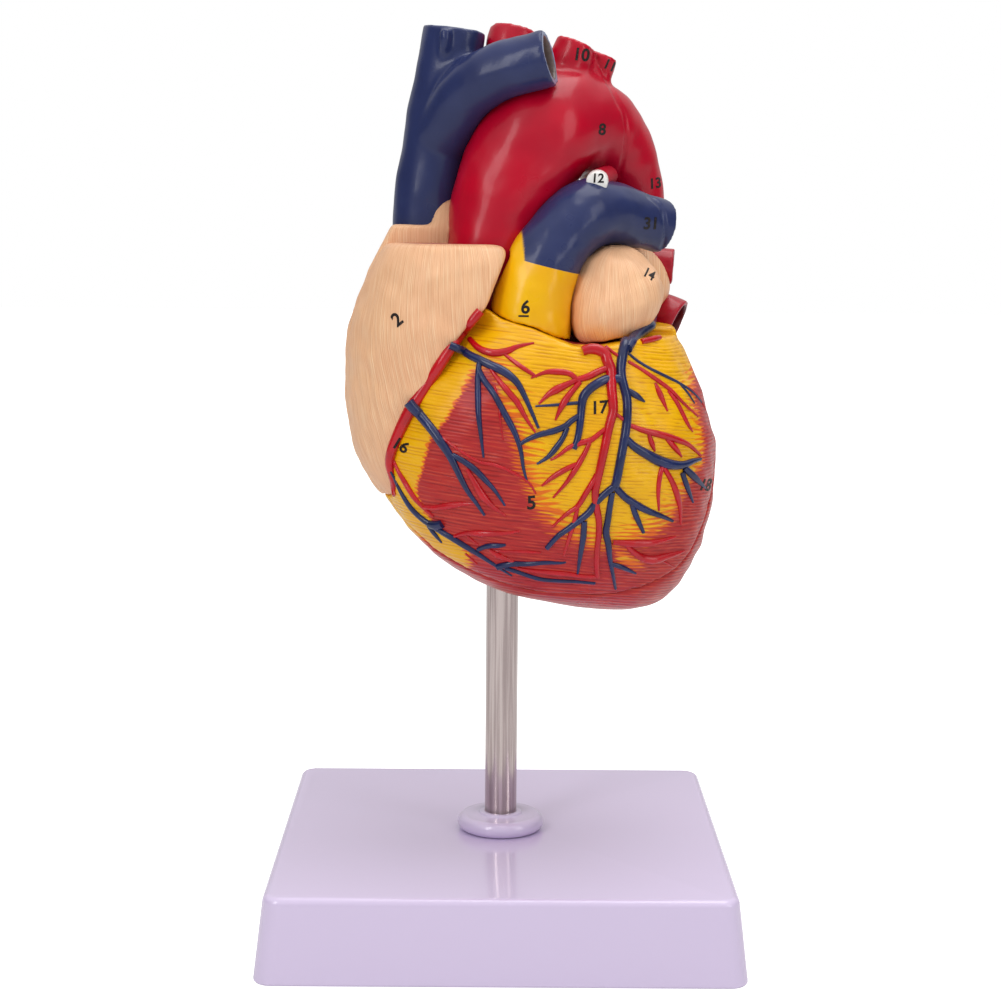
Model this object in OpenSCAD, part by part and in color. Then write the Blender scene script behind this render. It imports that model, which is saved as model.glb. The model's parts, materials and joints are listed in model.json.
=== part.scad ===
// Human heart anatomy model on a stand.
// A life-size heart stands on a steel rod in a square moulded base. The rod turns in the base,
// the heart lifts off the rod, and its front wall pulls away to show the chambers and the valves.
// Millimetres. +Z is up, -Y is the front, and the origin is under the middle of the base.

/* [Stand] */
// Width of the base at its foot
base_w = 142; // [130:1:200]
// Depth of the base at its foot
base_d = 142; // [120:1:200]
// Height of the base
base_h = 25; // [20:1:40]
// How far each side of the base leans in from its foot to its top
base_draft = 2.5; // [0:0.5:6]
// Radius of the upright corners of the base
base_corner_r = 5.5; // [5:0.5:15]
// Radius of the rounded edge round the top of the base
base_edge_r = 2.2; // [1:0.1:4.5]
// Wall of the base moulding
base_wall = 3; // [2:0.25:5]
// Thickness of the ribs under the base
rib_t = 2; // [1:0.25:4]
// Outer diameter of the boss under the base that holds the rod
boss_d = 24; // [20:1:34]
// Outer diameter of the steel rod
rod_d = 10; // [8:0.5:12]
// Wall of the rod, which is a tube
rod_wall = 1.2; // [0.8:0.1:2]
// Length of rod that shows between the base and the heart
rod_show = 72; // [40:1:120]
// Play between the rod and the bores it turns in, on the radius
rod_play = 0.05; // [0.02:0.01:0.1]
// Diameter of the collar round the foot of the rod
collar_d = 27; // [22:0.5:36]
// Height of the collar
collar_h = 5; // [3:0.5:8]
// Diameter of the fixing screw's shank
screw_d = 6; // [4:0.5:6]
// Diameter of the fixing screw's head
screw_head_d = 11; // [9:0.5:13]
// Height of the fixing screw's head
screw_head_h = 3.2; // [2.5:0.1:4]
// Diameter of the washer under the screw's head
washer_d = 16; // [13:0.5:19]
// Thickness of the washer
washer_t = 1.2; // [0.8:0.1:1.6]

/* [Heart] */
// Width of the heart, right atrium to left ventricle
heart_w = 113; // [104:1:124]
// Depth of the ventricles, front to back
heart_d = 78; // [72:1:86]
// Height of the whole heart, apex side to vessel tops
heart_h = 176; // [164:1:190]
// Gap round the front wall where it meets the rest of the heart
seam_gap = 0.3; // [0.2:0.05:0.6]
// Depth of the socket in the heart that the rod goes into
socket_depth = 27; // [20:1:30]
// Wall of the bush that lines the socket
bush_wall = 2; // [1.5:0.25:2.5]
// Diameter of the magnets that hold the front wall
magnet_d = 5; // [4:0.5:6]
// Thickness of a magnet
magnet_t = 2; // [1.5:0.25:3]
// Diameter of the pins that line up the front wall
pin_d = 4; // [3:0.25:5]
// Length of a pin that stands out of the front wall
pin_reach = 5; // [3:0.5:7]
// Play round a pin in its hole, on the radius
pin_play = 0.15; // [0.1:0.05:0.3]

/* [Chambers] */
// Radius of the wide part of the right ventricle's chamber
right_ventricle_r = 15; // [12:0.5:16]
// Radius of the wide part of the left ventricle's chamber
left_ventricle_r = 11; // [9:0.5:12]
// Radius of the wide part of the right atrium's chamber
right_atrium_r = 14; // [11:0.5:15]
// Wall of the left atrium
left_atrium_wall = 3.5; // [2.5:0.25:5]
// Radius of the opening between the right atrium and the right ventricle
tricuspid_r = 11; // [9:0.5:12]
// Radius of the opening between the left atrium and the left ventricle
mitral_r = 9.5; // [8:0.5:10.5]
// Thickness of a valve flap
flap_t = 1; // [0.8:0.1:1.4]
// Length of the valve flaps, from the opening's rim
flap_reach = 12; // [9:0.5:14]
// Diameter of the cords that tie the flaps to the papillary muscles
chorda_d = 1; // [0.8:0.1:1.4]
// Radius of a papillary muscle at its foot
papillary_r = 3.6; // [2.6:0.2:4.4]

/* [Great vessels] */
// Wall of the hollow great vessels
vessel_wall = 2.4; // [1.6:0.2:3.2]
// Radius of the aorta where it leaves the heart
aorta_r = 14; // [12:0.5:15]
// Radius of the aorta where it is cut off behind the heart
aorta_end_r = 10; // [8:0.5:11]
// Radius of the superior vena cava
vena_cava_r = 10; // [8:0.5:11]
// Radius of the vein that crosses in front of the arch
brachiocephalic_vein_r = 8.3; // [6.5:0.5:9]
// Radius of the pulmonary trunk
pulmonary_trunk_r = 12; // [10:0.5:13]
// Radius of the pulmonary arteries
pulmonary_artery_r = 9; // [7:0.5:10]
// Radius of the pulmonary veins
pulmonary_vein_r = 7; // [5.5:0.5:8]
// Radius of the inferior vena cava
inferior_cava_r = 10.5; // [8.5:0.5:12]
// Radius of the first branch of the arch
first_branch_r = 7.5; // [6:0.5:8.5]
// Radius of the second branch of the arch
second_branch_r = 6.5; // [5:0.5:7.5]
// Radius of the third branch of the arch
third_branch_r = 5; // [4:0.5:6]

/* [Coronary vessels] */
// Radius of the largest coronary arteries on the heart's surface
coronary_r = 1.5; // [1.2:0.05:1.8]
// Radius of the largest cardiac veins on the heart's surface
cardiac_vein_r = 1.5; // [1.2:0.05:1.8]

/* [Hidden] */

eps = 0.01;
far = 400;
round_fn = 64;

// Colours as the model is painted
lavender = [0.80, 0.76, 0.87];
steel = [0.70, 0.68, 0.66];
peach = [0.90, 0.72, 0.55];
muscle = [0.74, 0.25, 0.22];
yellow = [0.93, 0.70, 0.05];
artery_red = [0.72, 0.04, 0.15];
vein_blue = [0.16, 0.20, 0.38];
valve_cream = [0.92, 0.88, 0.78];
magnet_grey = [0.55, 0.56, 0.58];

// Stand, worked out
rod_r = rod_d / 2;
rod_bore_r = rod_r + rod_play;
screw_r = screw_d / 2;
head_clear = 2;
shoulder_z = head_clear + screw_head_h + washer_t + 4;
boss_z = head_clear + screw_head_h + washer_t;
insert_h = 14;
heart_z = base_h + rod_show;
rod_top = heart_z + socket_depth;

// The heart's shape is drawn on a life-size sheet: x to the viewer's right, y to the back, and
// h up from the lowest point of the ventricles. sheet_* is the size that the sheet is drawn at.
sheet_w = 113;
sheet_d = 78;
sheet_h = 176;
kx = heart_w / sheet_w;
ky = heart_d / sheet_d;
kh = heart_h / sheet_h;
function place(p) = [p[0] * kx, p[1] * ky, heart_z + p[2] * kh];

// The flat seat that the great vessels stand on, and the foot of the aorta a little below it
seat_h = 87;
aorta_foot_h = seat_h - 2;
// The level top edge of the front wall, in front of the aorta
cover_top_h = 112;

// Ventricles, as level outlines: [h, left x, right x, front y, back y]
ventricle_lines = [
    [0, 28, 41, -8, 4], [2.5, 13, 48.5, -16, 12], [7, -4, 53.5, -23.5, 19.5], [14, -17, 58, -30, 26],
    [24, -28, 62, -35.5, 31], [37, -37, 64.2, -39, 35], [51, -40, 64.2, -40.5, 37],
    [seat_h - 22, -38, 61, -39.5, 37.5], [seat_h - 12, -33, 57.2, -37, 36.5],
    [seat_h - 4, -25, 53, -33.5, 34], [seat_h + 1, -18, 48, -30, 30], [seat_h + 6, -13, 12, -27, 12],
];
// Right atrium, in the same way
atrium_lines = [
    [28, -31, -16, -6, 10], [31, -33.5, -8, -14, 19], [37, -39.3, 0, -22, 26], [47, -45, 8, -28, 30],
    [59, -47.9, 12, -30, 33], [71, -48.6, 14, -31, 35], [83, -48, 14, -31.5, 35], [95, -44.6, 13, -31, 33],
    [105, -40.2, 12, -29.5, 30], [cover_top_h, -36.7, 10, -26.5, 26], [cover_top_h + 5, -34, 2, -20, 20],
];
// How square the level outlines are: 2 is an ellipse
fullness = 2.3;
outline_points = 32;
line_steps = 2;

// The coronary groove parts the right atrium, on its left, from the ventricles: [x, h] down the
// front view. The tricuspid valve lies in its straight middle stretch.
groove_line = [
    [9, 120], [0.8, 110], [-5.5, 93.5], [-10, 89.5], [-16, 81.7], [-21.2, 73.2], [-27, 65.3],
    [-30.2, 59], [-33, 52], [-33.9, 47], [-32.5, 42], [-32.3, 38.5], [-34, 36], [-70, 30],
];
groove_angle = 56.5;

// The front wall meets the rest on a flat face at seam_y, which leans forward below seam_bend_h
seam_y = -6;
seam_low_y = -24;
seam_low_h = 8;
seam_bend_h = 48;
// Its top edge runs level in front of the aorta, then down beside the pulmonary trunk and along
// under the left auricle: [x, h]
cover_edge = [
    [-1, seat_h + 3.5], [8, seat_h + 1], [14, seat_h - 1.5], [20, seat_h - 3.8], [28, seat_h - 4],
    [40, seat_h - 2],
];
cover_corner_r = 4;

// Chambers, as balls that a smooth skin is drawn round: [x, y, h, radius]
right_ventricle_balls = [
    [-17, -9, 53, right_ventricle_r], [9, -17, 30, 10], [3, -12, seat_h - 19, 10], [7, -17, seat_h - 3, 7.5],
];
left_ventricle_balls = [[34, 2, seat_h - 19, left_ventricle_r], [44, -1, 50, 10.5], [46, -12, 27, 6]];
right_atrium_balls = [[-27, -2, 89, right_atrium_r - 1], [-32.5, -1, 72, right_atrium_r - 2],
    [-37, -1, 56, 7]];

// Valve openings
tricuspid_at = [-25, -3, 68];
mitral_at = [34, 2, seat_h - 7];

// Great vessels, as the line down the middle: [x, y, h, radius]
aorta_line = [
    [-3, -3, seat_h - 7, aorta_r - 1.5], [-4, -3.5, 100, aorta_r - 0.2], [-2.8, -2.5, 117, aorta_r + 0.8],
    [3, 0, 133, aorta_r + 3], [11, 4, 144.5, aorta_r + 4], [20, 10, 147.5, aorta_r + 2.5],
    [29, 16, 144, aorta_r], [35.6, 21, 134.5, aorta_r - 1.6], [39, 24, 123, aorta_end_r + 0.8],
    [40, 26, 113, aorta_end_r],
];
aorta_side = [0.5, -0.8, 0];
cava_line = [
    [-24.5, 6, 110, vena_cava_r + 0.5], [-24, 6, 124, vena_cava_r], [-21.5, 6, 142, vena_cava_r],
    [-18, 6, 160, vena_cava_r], [-15.7, 6, 175.3, vena_cava_r - 0.5],
];
cross_vein_line = [
    [-20, 4, 143, brachiocephalic_vein_r + 1], [-12, -4, 155.5, brachiocephalic_vein_r + 0.5],
    [-2, -9, 162, brachiocephalic_vein_r + 0.2], [12.6, -12.5, 166, brachiocephalic_vein_r + 0.2],
];
trunk_line = [
    [8, -16, seat_h - 9, pulmonary_trunk_r], [7.7, -16.5, seat_h + 6, pulmonary_trunk_r - 0.2],
    [10.8, -15.5, 105, pulmonary_trunk_r - 1], [17, -13, 114.5, pulmonary_trunk_r - 1.8],
    [24.5, -9, 120.5, pulmonary_trunk_r - 1.5], [33, -3, 120.5, pulmonary_artery_r + 0.3],
    [40.5, 2, 118.6, pulmonary_artery_r - 0.6], [47.7, 6.5, 117, pulmonary_artery_r - 0.8],
];
// The trunk turns blue above a slanting line across it: a point [x, h] on it and its slope
trunk_parting = [12.3, 105.4];
trunk_parting_angle = -14;
right_artery_line = [
    [30, 0, 119, pulmonary_artery_r - 1.5], [18, 14, 117.5, pulmonary_artery_r - 1],
    [2, 21, 115, pulmonary_artery_r - 1], [-18, 25, 114.5, pulmonary_artery_r - 1],
    [-36, 26, 115, pulmonary_artery_r - 1],
];
// Where the peach wall of the atrium runs up between the vena cava and the aorta
atrium_horn_line = [[-17, 0, 100, 11], [-18, 0.5, 112, 8], [-18.5, 1.5, 120, 5.5], [-18.5, 3, 127, 2.5]];
ligament_line = [[26.8, -14.2, 129.8, 3.2], [27.5, -9, 130.6, 3.2], [31, 2, 132, 3]];
inferior_cava_line = [
    [-22, 20, 66, inferior_cava_r - 0.5], [-22, 21, 46, inferior_cava_r - 0.5],
    [-21.5, 21.5, 30, inferior_cava_r - 1],
];
left_vein_lines = [
    [
        [38, 22, seat_h + 17, pulmonary_vein_r - 1.5], [46, 22.5, seat_h + 17.5, pulmonary_vein_r - 1.4],
        [53, 22, seat_h + 17, pulmonary_vein_r - 1.4],
    ],
    [
        [36, 24, seat_h + 7, pulmonary_vein_r - 0.5], [46, 24.5, seat_h + 3, pulmonary_vein_r],
        [54.5, 22, seat_h - 1, pulmonary_vein_r + 1],
    ],
];
right_vein_lines = [
    [
        [-2, 29, seat_h + 15, pulmonary_vein_r - 1], [-18, 35, seat_h + 16, pulmonary_vein_r - 0.8],
        [-37, 38.5, seat_h + 17, pulmonary_vein_r - 0.4],
    ],
    [
        [-2, 30, seat_h + 4, pulmonary_vein_r - 1], [-16, 37.5, seat_h + 2, pulmonary_vein_r - 0.8],
        [-34, 40, seat_h - 1, pulmonary_vein_r - 0.4],
    ],
];
branch_lines = [
    [[1.5, 5, 158, first_branch_r + 0.5], [1.2, 8, 168, first_branch_r],
        [2.4, 10, 174.8, first_branch_r - 0.3]],
    [[17, 8, 158, second_branch_r + 0.7], [19, 8, 166, second_branch_r],
        [21.2, 8.5, 171.5, second_branch_r - 0.2]],
    [[25.5, 13, 158, third_branch_r + 0.6], [28, 14, 163, third_branch_r],
        [29.8, 14.5, 168.2, third_branch_r - 0.2]],
];
left_atrium_at = [19, 21, seat_h + 11];
left_atrium_size = [33, 20, 19];
// Left auricle, as level outlines
auricle_lines = [
    [seat_h - 6, 22, 35, -21, -1], [seat_h - 1, 19.5, 41.5, -25, 4], [seat_h + 4, 18.3, 45, -26, 5.5],
    [seat_h + 9.5, 18.5, 46.6, -25, 6], [seat_h + 15.3, 20.5, 46, -22, 5],
    [seat_h + 19.5, 22.7, 43.7, -18.5, 3.5],
    [seat_h + 22.7, 25.7, 39.5, -14, 0.5], [seat_h + 24.4, 29, 35, -10, -3],
];
branch_wall = vessel_wall * 0.7;
lung_vein_wall = vessel_wall * 0.8;
// How far the inside of a pipe runs past its cut end
end_cut = 3;
tube_points = 16;
stub_points = 12;

// Coronary vessels in the front view: [x, h], and the share of the full radius at that point
front_artery_lines = [
    // right coronary artery, down the groove
    [
        [-7.5, 93, 0.7], [-18.5, 78, 0.85], [-30.5, 59, 0.9], [-34, 47.5, 0.7],
        [-32.5, 37, 0.45],
    ],
    // conus branch
    [[-10.5, 84.5, 0.55], [-7.5, 82, 0.7], [-3, 80.5, 0.8], [8.5, 84, 0.3]],
    // branch over the right ventricle
    [[-4, 76.5, 0.3], [9, 58.5, 0.3]],
    // acute marginal branch
    [[-33, 48.5, 0.35], [-26.5, 38, 0.6], [-20.5, 32, 0.3]],
    // twig between the anterior veins
    [[-11, 47.5, 0.4], [-6.5, 40, 0.8], [0.5, 33.5, 0.3]],
    // anterior interventricular branch
    [
        [22, 83.5, 1.2], [27, 84, 1.15], [29, 82.5, 1.15], [30.5, 76.5, 1.05],
        [31.5, 64.5, 0.95], [26.5, 41, 0.75], [28, 14.5, 0.5],
    ],
    // first branch to the right ventricle
    [[30, 77, 0.6], [21, 73.5, 0.6]],
    // its twig
    [[21, 73.5, 0.5], [10, 67, 0.3]],
    // second branch
    [[24.5, 56, 0.45], [14, 39.5, 0.3]],
    // third branch
    [[27, 46.5, 0.6], [21.5, 37, 0.55], [14, 30.5, 0.3]],
    // first branch to the left ventricle
    [[36, 78.5, 0.3], [49, 69.5, 0.45], [57.5, 61.5, 0.3]],
    // diagonal branch
    [[36, 60.5, 0.45], [49.5, 56, 0.65], [58.5, 50, 0.3]],
    // twig on the left ventricle
    [[46.5, 47.5, 0.5], [51, 39, 0.65], [52.5, 30, 0.3]],
    // branch near the apex
    [[32, 26, 0.55], [43.5, 25, 0.7], [51, 26, 0.3]],
    // its lower twig
    [[36, 25, 0.45], [41, 20.5, 0.75], [44.5, 19.5, 0.95], [54, 21.5, 0.3]],
    // twig along the lower edge
    [[4, 17, 0.3], [28, 15, 0.3]],
];
front_vein_lines = [
    // great cardiac vein
    [
        [46, 86.5, 1.3], [44.5, 88.5, 1.25], [38, 86, 1.15], [34, 81, 1.05],
        [35.5, 62.5, 0.9], [32, 43, 0.85],
    ],
    // branch from the right ventricle
    [[33.5, 73.5, 0.85], [27.5, 73, 0.9], [23, 69, 0.9], [20, 54, 0.6]],
    // its side branch
    [[22, 63.5, 0.55], [17.5, 60.5, 0.6], [4.5, 55, 0.35]],
    // branch from the left ventricle
    [[35.5, 56.5, 0.7], [48.5, 48.5, 1.05], [58.5, 49, 0.35]],
    // branch toward the lower edge
    [[32, 43, 0.7], [12.5, 24, 0.5]],
    // branch to the apex
    [[31.5, 41, 0.6], [30, 29, 0.7], [33.5, 10, 0.3]],
    // branch over the left ventricle
    [[32.5, 42.5, 0.7], [38.5, 37, 0.75], [50, 31, 0.3]],
    // anterior cardiac vein
    [[-16, 83, 0.75], [2.5, 74, 0.75], [10, 60, 0.3]],
    // straight branch
    [[-7.5, 78.5, 0.55], [-6, 51, 0.3]],
    // long branch
    [[-7.5, 76, 0.6], [3.5, 57.5, 0.55], [6.5, 44.5, 0.3]],
    // second anterior vein
    [[-28, 66, 1.1], [-16, 51.5, 0.8], [-5.5, 33.5, 0.3]],
    // its branch
    [[-15, 51.5, 0.55], [-8.5, 47.5, 0.6], [0.5, 37, 0.3]],
    // thin vein over the left ventricle
    [[36, 81, 0.3], [56, 68.5, 0.3], [59, 65, 0.3]],
    // small cardiac vein, along the lower edge
    [[-33.5, 44.5, 0.3], [-29.5, 37, 0.55], [-24, 31, 0.65], [-2, 17.5, 0.4]],
];
rear_artery_lines = [
    [
        [-15, seat_h - 21, 0.7], [-8, seat_h - 11, 0.9], [14, seat_h - 6, 0.9], [34, seat_h - 8, 0.9],
        [52, seat_h - 15, 0.7],
    ],
    [[14, seat_h - 7, 0.9], [18, 62, 1], [23, 42, 0.9], [28.5, 24, 0.7], [31, 16, 0.4]],
    [[34, seat_h - 8, 0.8], [42, 60, 0.8], [46, 40, 0.4]],
    [[-8, seat_h - 12, 0.7], [2, 55, 0.8], [8, 36, 0.4]],
];
rear_vein_lines = [
    [
        [-14, seat_h - 14, 1.7], [-4, seat_h - 6.5, 2.2], [16, seat_h - 3, 2.1], [36, seat_h - 4.5, 1.8],
        [50, seat_h - 10, 1.3],
    ],
    [[10, seat_h - 5, 1.1], [13, 60, 1.1], [18, 40, 1], [25, 20, 0.8], [30, 8, 0.4]],
    [[36, seat_h - 5, 1], [50, 60, 0.9], [54, 38, 0.4]],
    [[-2, seat_h - 9, 0.8], [-6, 58, 0.9], [-4, 38, 0.4]],
];
route_points = 5;
// Longest straight piece of a route
route_piece = 16;

rear_artery_r = 1.5;
rear_vein_r = 1.7;

// Papillary muscles: foot, tip, and where the cords reach the flaps
right_papillae = [
    [[-6, 1.5, 35.5], [-10, -3.2, 50], [-13.5, 2.2, 62.1]],
    [[-21, 3, 39.5], [-18.5, -2.5, 49], [-17.3, -3, 56.4]],
];
left_papillae = [
    [[51, 4, 38], [45, -1, 54], [38.3, 0.8, 67.2]],
    [[38, 8, 44], [36, 3, 57], [29.6, 2, 67.2]],
];
ring_r = 1.2;
// Gap between a valve's ring and the wall round it
ring_gap = 0.1;

// Socket for the rod, lined by a bush
bush_r = rod_bore_r + bush_wall;
bush_cap = 2;
bush_mouth_h = 8;

// ---- helpers ----

function unit(v) = v / norm(v);
// A smooth curve through the rows at i and i + 1
function between(rows, i, t) =
    let (
        n = len(rows),
        a = rows[max(0, i - 1)],
        b = rows[i],
        c = rows[min(n - 1, i + 1)],
        d = rows[min(n - 1, i + 2)]
    )
    0.5 * (2 * b + (c - a) * t + (2 * a - 5 * b + 4 * c - d) * t * t + (3 * b - a - 3 * c + d) * t * t * t);
function smooth_rows(rows, steps) = [
    for (i = [0:len(rows) - 2], j = [0:steps - 1]) between(rows, i, j / steps),
    rows[len(rows) - 1],
];

// Triangles of a closed skin over rings of seg points each, the first ring at the low end
function skin_faces(rings, seg) = [
    for (i = [0:rings - 2], j = [0:seg - 1])
        let (k = (j + 1) % seg)
        each [
            [i * seg + j, (i + 1) * seg + j, (i + 1) * seg + k],
            [i * seg + j, (i + 1) * seg + k, i * seg + k],
        ],
    [for (j = [0:seg - 1]) j],
    [for (j = [seg - 1:-1:0]) (rings - 1) * seg + j],
];

// One level outline: an ellipse squared off by fullness
function outline(row, seg) =
    let (
        cx = (row[1] + row[2]) / 2,
        a = (row[2] - row[1]) / 2,
        cy = (row[3] + row[4]) / 2,
        b = (row[4] - row[3]) / 2
    )
    [
        for (i = [0:seg - 1])
            let (c = cos(360 * i / seg), s = sin(360 * i / seg))
            place([
                cx + a * sign(c) * pow(abs(c), 2 / fullness),
                cy + b * sign(s) * pow(abs(s), 2 / fullness),
                row[0],
            ]),
    ];

ventricle_rows = smooth_rows(ventricle_lines, line_steps);
atrium_rows = smooth_rows(atrium_lines, line_steps);

module loft(lines) {
    rows = smooth_rows(lines, line_steps);
    polyhedron(
        points = [for (row = rows) each outline(row, outline_points)],
        faces = skin_faces(len(rows), outline_points),
        convexity = 4
    );
}

// Points round a tube, one ring for each row [x, y, z, radius], square to its middle line
function tube_rings(rows, seg, side, grow) = [
    for (i = [0:len(rows) - 1])
        let (
            here = rows[i],
            a = rows[max(0, i - 1)],
            b = rows[min(len(rows) - 1, i + 1)],
            along = unit([b[0] - a[0], b[1] - a[1], b[2] - a[2]]),
            u = unit(cross(side, along)),
            v = cross(along, u)
        )
        for (j = [0:seg - 1])
            let (r = here[3] + grow, t = 360 * j / seg)
            [here[0], here[1], here[2]] + r * cos(t) * u + r * sin(t) * v,
];
function placed(line) = [for (p = line) let (q = place(p)) [q[0], q[1], q[2], p[3]]];

// A tube along a line of the sheet. side is any direction that the line never runs along.
module tube(line, seg = tube_points, steps = 2, side = [0, 1, 0], grow = 0, longer = 0) {
    rows = smooth_rows(placed(line), steps);
    n = len(rows);
    first = unit([for (k = [0:2]) rows[0][k] - rows[1][k]]) * longer;
    last = unit([for (k = [0:2]) rows[n - 1][k] - rows[n - 2][k]]) * longer;
    ends = longer == 0 ? rows : [
        for (i = [0:n - 1])
            let (d = i == 0 ? first : i == n - 1 ? last : [0, 0, 0])
            [rows[i][0] + d[0], rows[i][1] + d[1], rows[i][2] + d[2], rows[i][3]],
    ];
    polyhedron(
        points = tube_rings(ends, seg, side, grow),
        faces = skin_faces(n, seg),
        convexity = 8
    );
}

// A rounded lump with its poles up and down
module lump(at, size, grow = 0, seg = 20, rings = 8) {
    c = place(at);
    s = [size[0] * kx + grow, size[1] * ky + grow, size[2] * kh + grow];
    polyhedron(
        points = [
            for (i = [0:rings])
                let (e = -86 + 172 * i / rings)
                for (j = [0:seg - 1])
                    let (t = 360 * j / seg)
                    c + [s[0] * cos(e) * cos(t), s[1] * cos(e) * sin(t), s[2] * sin(e)],
        ],
        faces = skin_faces(rings + 1, seg),
        convexity = 2
    );
}

// A smooth skin round a few balls
module chamber(balls, grow = 0) {
    hull() for (b = balls) translate(place(b)) sphere(r = b[3] + grow, $fn = 16);
}

// The great vessels as solids; grow less than 0 and longer more than 0 give their inside
module aorta_form(grow = 0, longer = 0) {
    intersection() {
        tube(aorta_line, side = aorta_side, grow = grow, longer = longer);
        above(aorta_foot_h);
    }
}
module branch_forms(grow = 0, longer = 0) {
    for (line = branch_lines) tube(line, stub_points, grow = grow, longer = longer);
}
module cava_form(grow = 0, longer = 0) {
    tube(cava_line, grow = grow, longer = longer);
}
module inferior_cava_form(grow = 0, longer = 0) {
    tube(inferior_cava_line, stub_points, grow = grow, longer = longer);
}
module cross_vein_form(grow = 0, longer = 0) {
    tube(cross_vein_line, grow = grow, longer = longer);
}
module trunk_form(grow = 0, longer = 0) {
    tube(trunk_line, grow = grow, longer = longer);
}
module right_artery_form(grow = 0, longer = 0) {
    tube(right_artery_line, stub_points, grow = grow, longer = longer);
}
module lung_vein_forms(lines, grow = 0, longer = 0) {
    for (line = lines) tube(line, stub_points, side = [0, 0, 1], grow = grow, longer = longer);
}
module left_atrium_form(grow = 0) {
    lump(left_atrium_at, left_atrium_size, grow = grow);
}

// Joins its children into one skin, at the size they have
module weld() {
    resize([0, 0, 0]) children();
}

// What lies left of the coronary groove, the right atrium's side, or right = true the other
module groove_side(right = false) {
    line = [for (p = groove_line) [p[0] * kx, heart_z + p[1] * kh]];
    last = len(line) - 1;
    points = right
        ? concat([[far, far], [line[0][0], far]], line, [[line[last][0], -far], [far, -far]])
        : concat([[-far, far], [line[0][0], far]], line, [[-far, line[last][1]]]);
    translate([0, far, 0]) rotate([90, 0, 0]) linear_extrude(2 * far) polygon(points);
}

// Everything in front of the seam, seen from the side
module front_side(gap = 0) {
    points = [
        [-far, -far], [seam_low_y * ky - gap, -far], [seam_low_y * ky - gap, heart_z + seam_low_h * kh],
        [seam_y * ky - gap, heart_z + seam_bend_h * kh], [seam_y * ky - gap, far], [-far, far],
    ];
    translate([-far, 0, 0])
        rotate([90, 0, 90])
            linear_extrude(2 * far) polygon(points);
}

// The outline of the front wall, seen from the front
module cover_region(gap = 0) {
    top = heart_z + cover_top_h * kh - gap;
    upper = [groove_line[1][0] * kx, heart_z + groove_line[1][1] * kh];
    lower = [groove_line[2][0] * kx, heart_z + groove_line[2][1] * kh];
    lean = (upper[0] - lower[0]) / (upper[1] - lower[1]);
    r = cover_corner_r;
    edge = [for (p = cover_edge) [p[0] * kx, heart_z + p[1] * kh - gap]];
    points = concat(
        [[-far, 0], [-far, top]],
        [for (t = [0:18:90]) [lower[0] + (top - lower[1]) * lean - gap - r + r * sin(t),
            top - r + r * cos(t)]],
        [[lower[0] - gap, lower[1] - gap]],
        edge,
        [[far, edge[len(edge) - 1][1]], [far, 0]]
    );
    translate([0, far, 0]) rotate([90, 0, 0]) linear_extrude(2 * far) polygon(points);
}

module front_part(gap = 0) {
    intersection() {
        front_side(gap);
        cover_region(gap);
    }
}

// Room for the aorta behind the front wall, open to the back
module aorta_room(gap) {
    foot = place([aorta_line[1][0], aorta_line[1][1], aorta_foot_h]);
    r = aorta_r + gap;
    translate(foot - [0, 0, gap]) cylinder(r = r, h = far, $fn = 48);
    translate(foot - [r, 0, gap]) cube([2 * r, far, far]);
}
module above(h) {
    translate([-far, -far, place([0, 0, h])[2]]) cube([2 * far, 2 * far, far]);
}

// ---- the heart's solid forms, before they are parted ----

module ventricle_form() {
    intersection() {
        loft(ventricle_lines);
        groove_side(right = true);
    }
}
module atrium_form() {
    intersection() {
        loft(atrium_lines);
        groove_side();
    }
}
// Puts its children on the tricuspid opening, their +Z pointing into the atrium
module tricuspid_axis() {
    translate(place(tricuspid_at)) rotate([0, -groove_angle, 0]) children();
}
module chambers() {
    chamber(right_ventricle_balls);
    chamber(right_atrium_balls);
    chamber(left_ventricle_balls);
    tricuspid_axis()
        translate([0, 0, -flap_reach - 2.5])
            cylinder(r = tricuspid_r, h = flap_reach + 2.5 + tricuspid_r, $fn = 40);
    translate(place(mitral_at) - [0, 0, 6]) cylinder(r = mitral_r, h = 60, $fn = 40);
}

// ---- the stand ----

module base_form(w, d, h, corner, edge) {
    hull() {
        for (x = [-1, 1], y = [-1, 1]) {
            translate([x * (w / 2 - corner), y * (d / 2 - corner), 0]) cylinder(r = corner, h = 1, $fn = 24);
            translate([x * (w / 2 - base_draft - corner), y * (d / 2 - base_draft - corner), h - edge])
                rotate_extrude($fn = 24)
                    intersection() {
                        translate([corner - edge, 0]) circle(r = edge, $fn = 24);
                        square([corner, edge]);
                    }
        }
    }
}

module base_shell() {
    inner_w = base_w - 2 * base_wall;
    inner_d = base_d - 2 * base_wall;
    color(lavender)
        difference() {
            base_form(base_w, base_d, base_h, base_corner_r, base_edge_r);
            difference() {
                translate([0, 0, -eps])
                    base_form(inner_w, inner_d, base_h - base_wall + eps, base_corner_r - base_wall / 2, 1);
                translate([0, 0, boss_z]) cylinder(d = boss_d, h = base_h, $fn = round_fn);
                for (a = [0, 90])
                    rotate([0, 0, a])
                        translate([-base_w, -rib_t / 2, base_h / 2]) cube([2 * base_w, rib_t, base_h]);
            }
            translate([0, 0, shoulder_z]) cylinder(r = rod_bore_r, h = base_h, $fn = round_fn);
            translate([0, 0, -1]) cylinder(r = screw_r + 0.2, h = base_h, $fn = round_fn);
        }
}

module rod_collar() {
    r = collar_d / 2;
    round_r = collar_h / 2;
    color(lavender)
        translate([0, 0, base_h])
            rotate_extrude($fn = round_fn)
                difference() {
                    union() {
                        square([r - round_r, collar_h]);
                        translate([r - round_r, round_r]) circle(r = round_r, $fn = 32);
                        translate([rod_r, collar_h - eps]) square([1.6, 0.8]);
                    }
                    translate([-1, -1]) square([rod_bore_r + 1, collar_h + 3]);
                }
}

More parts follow.
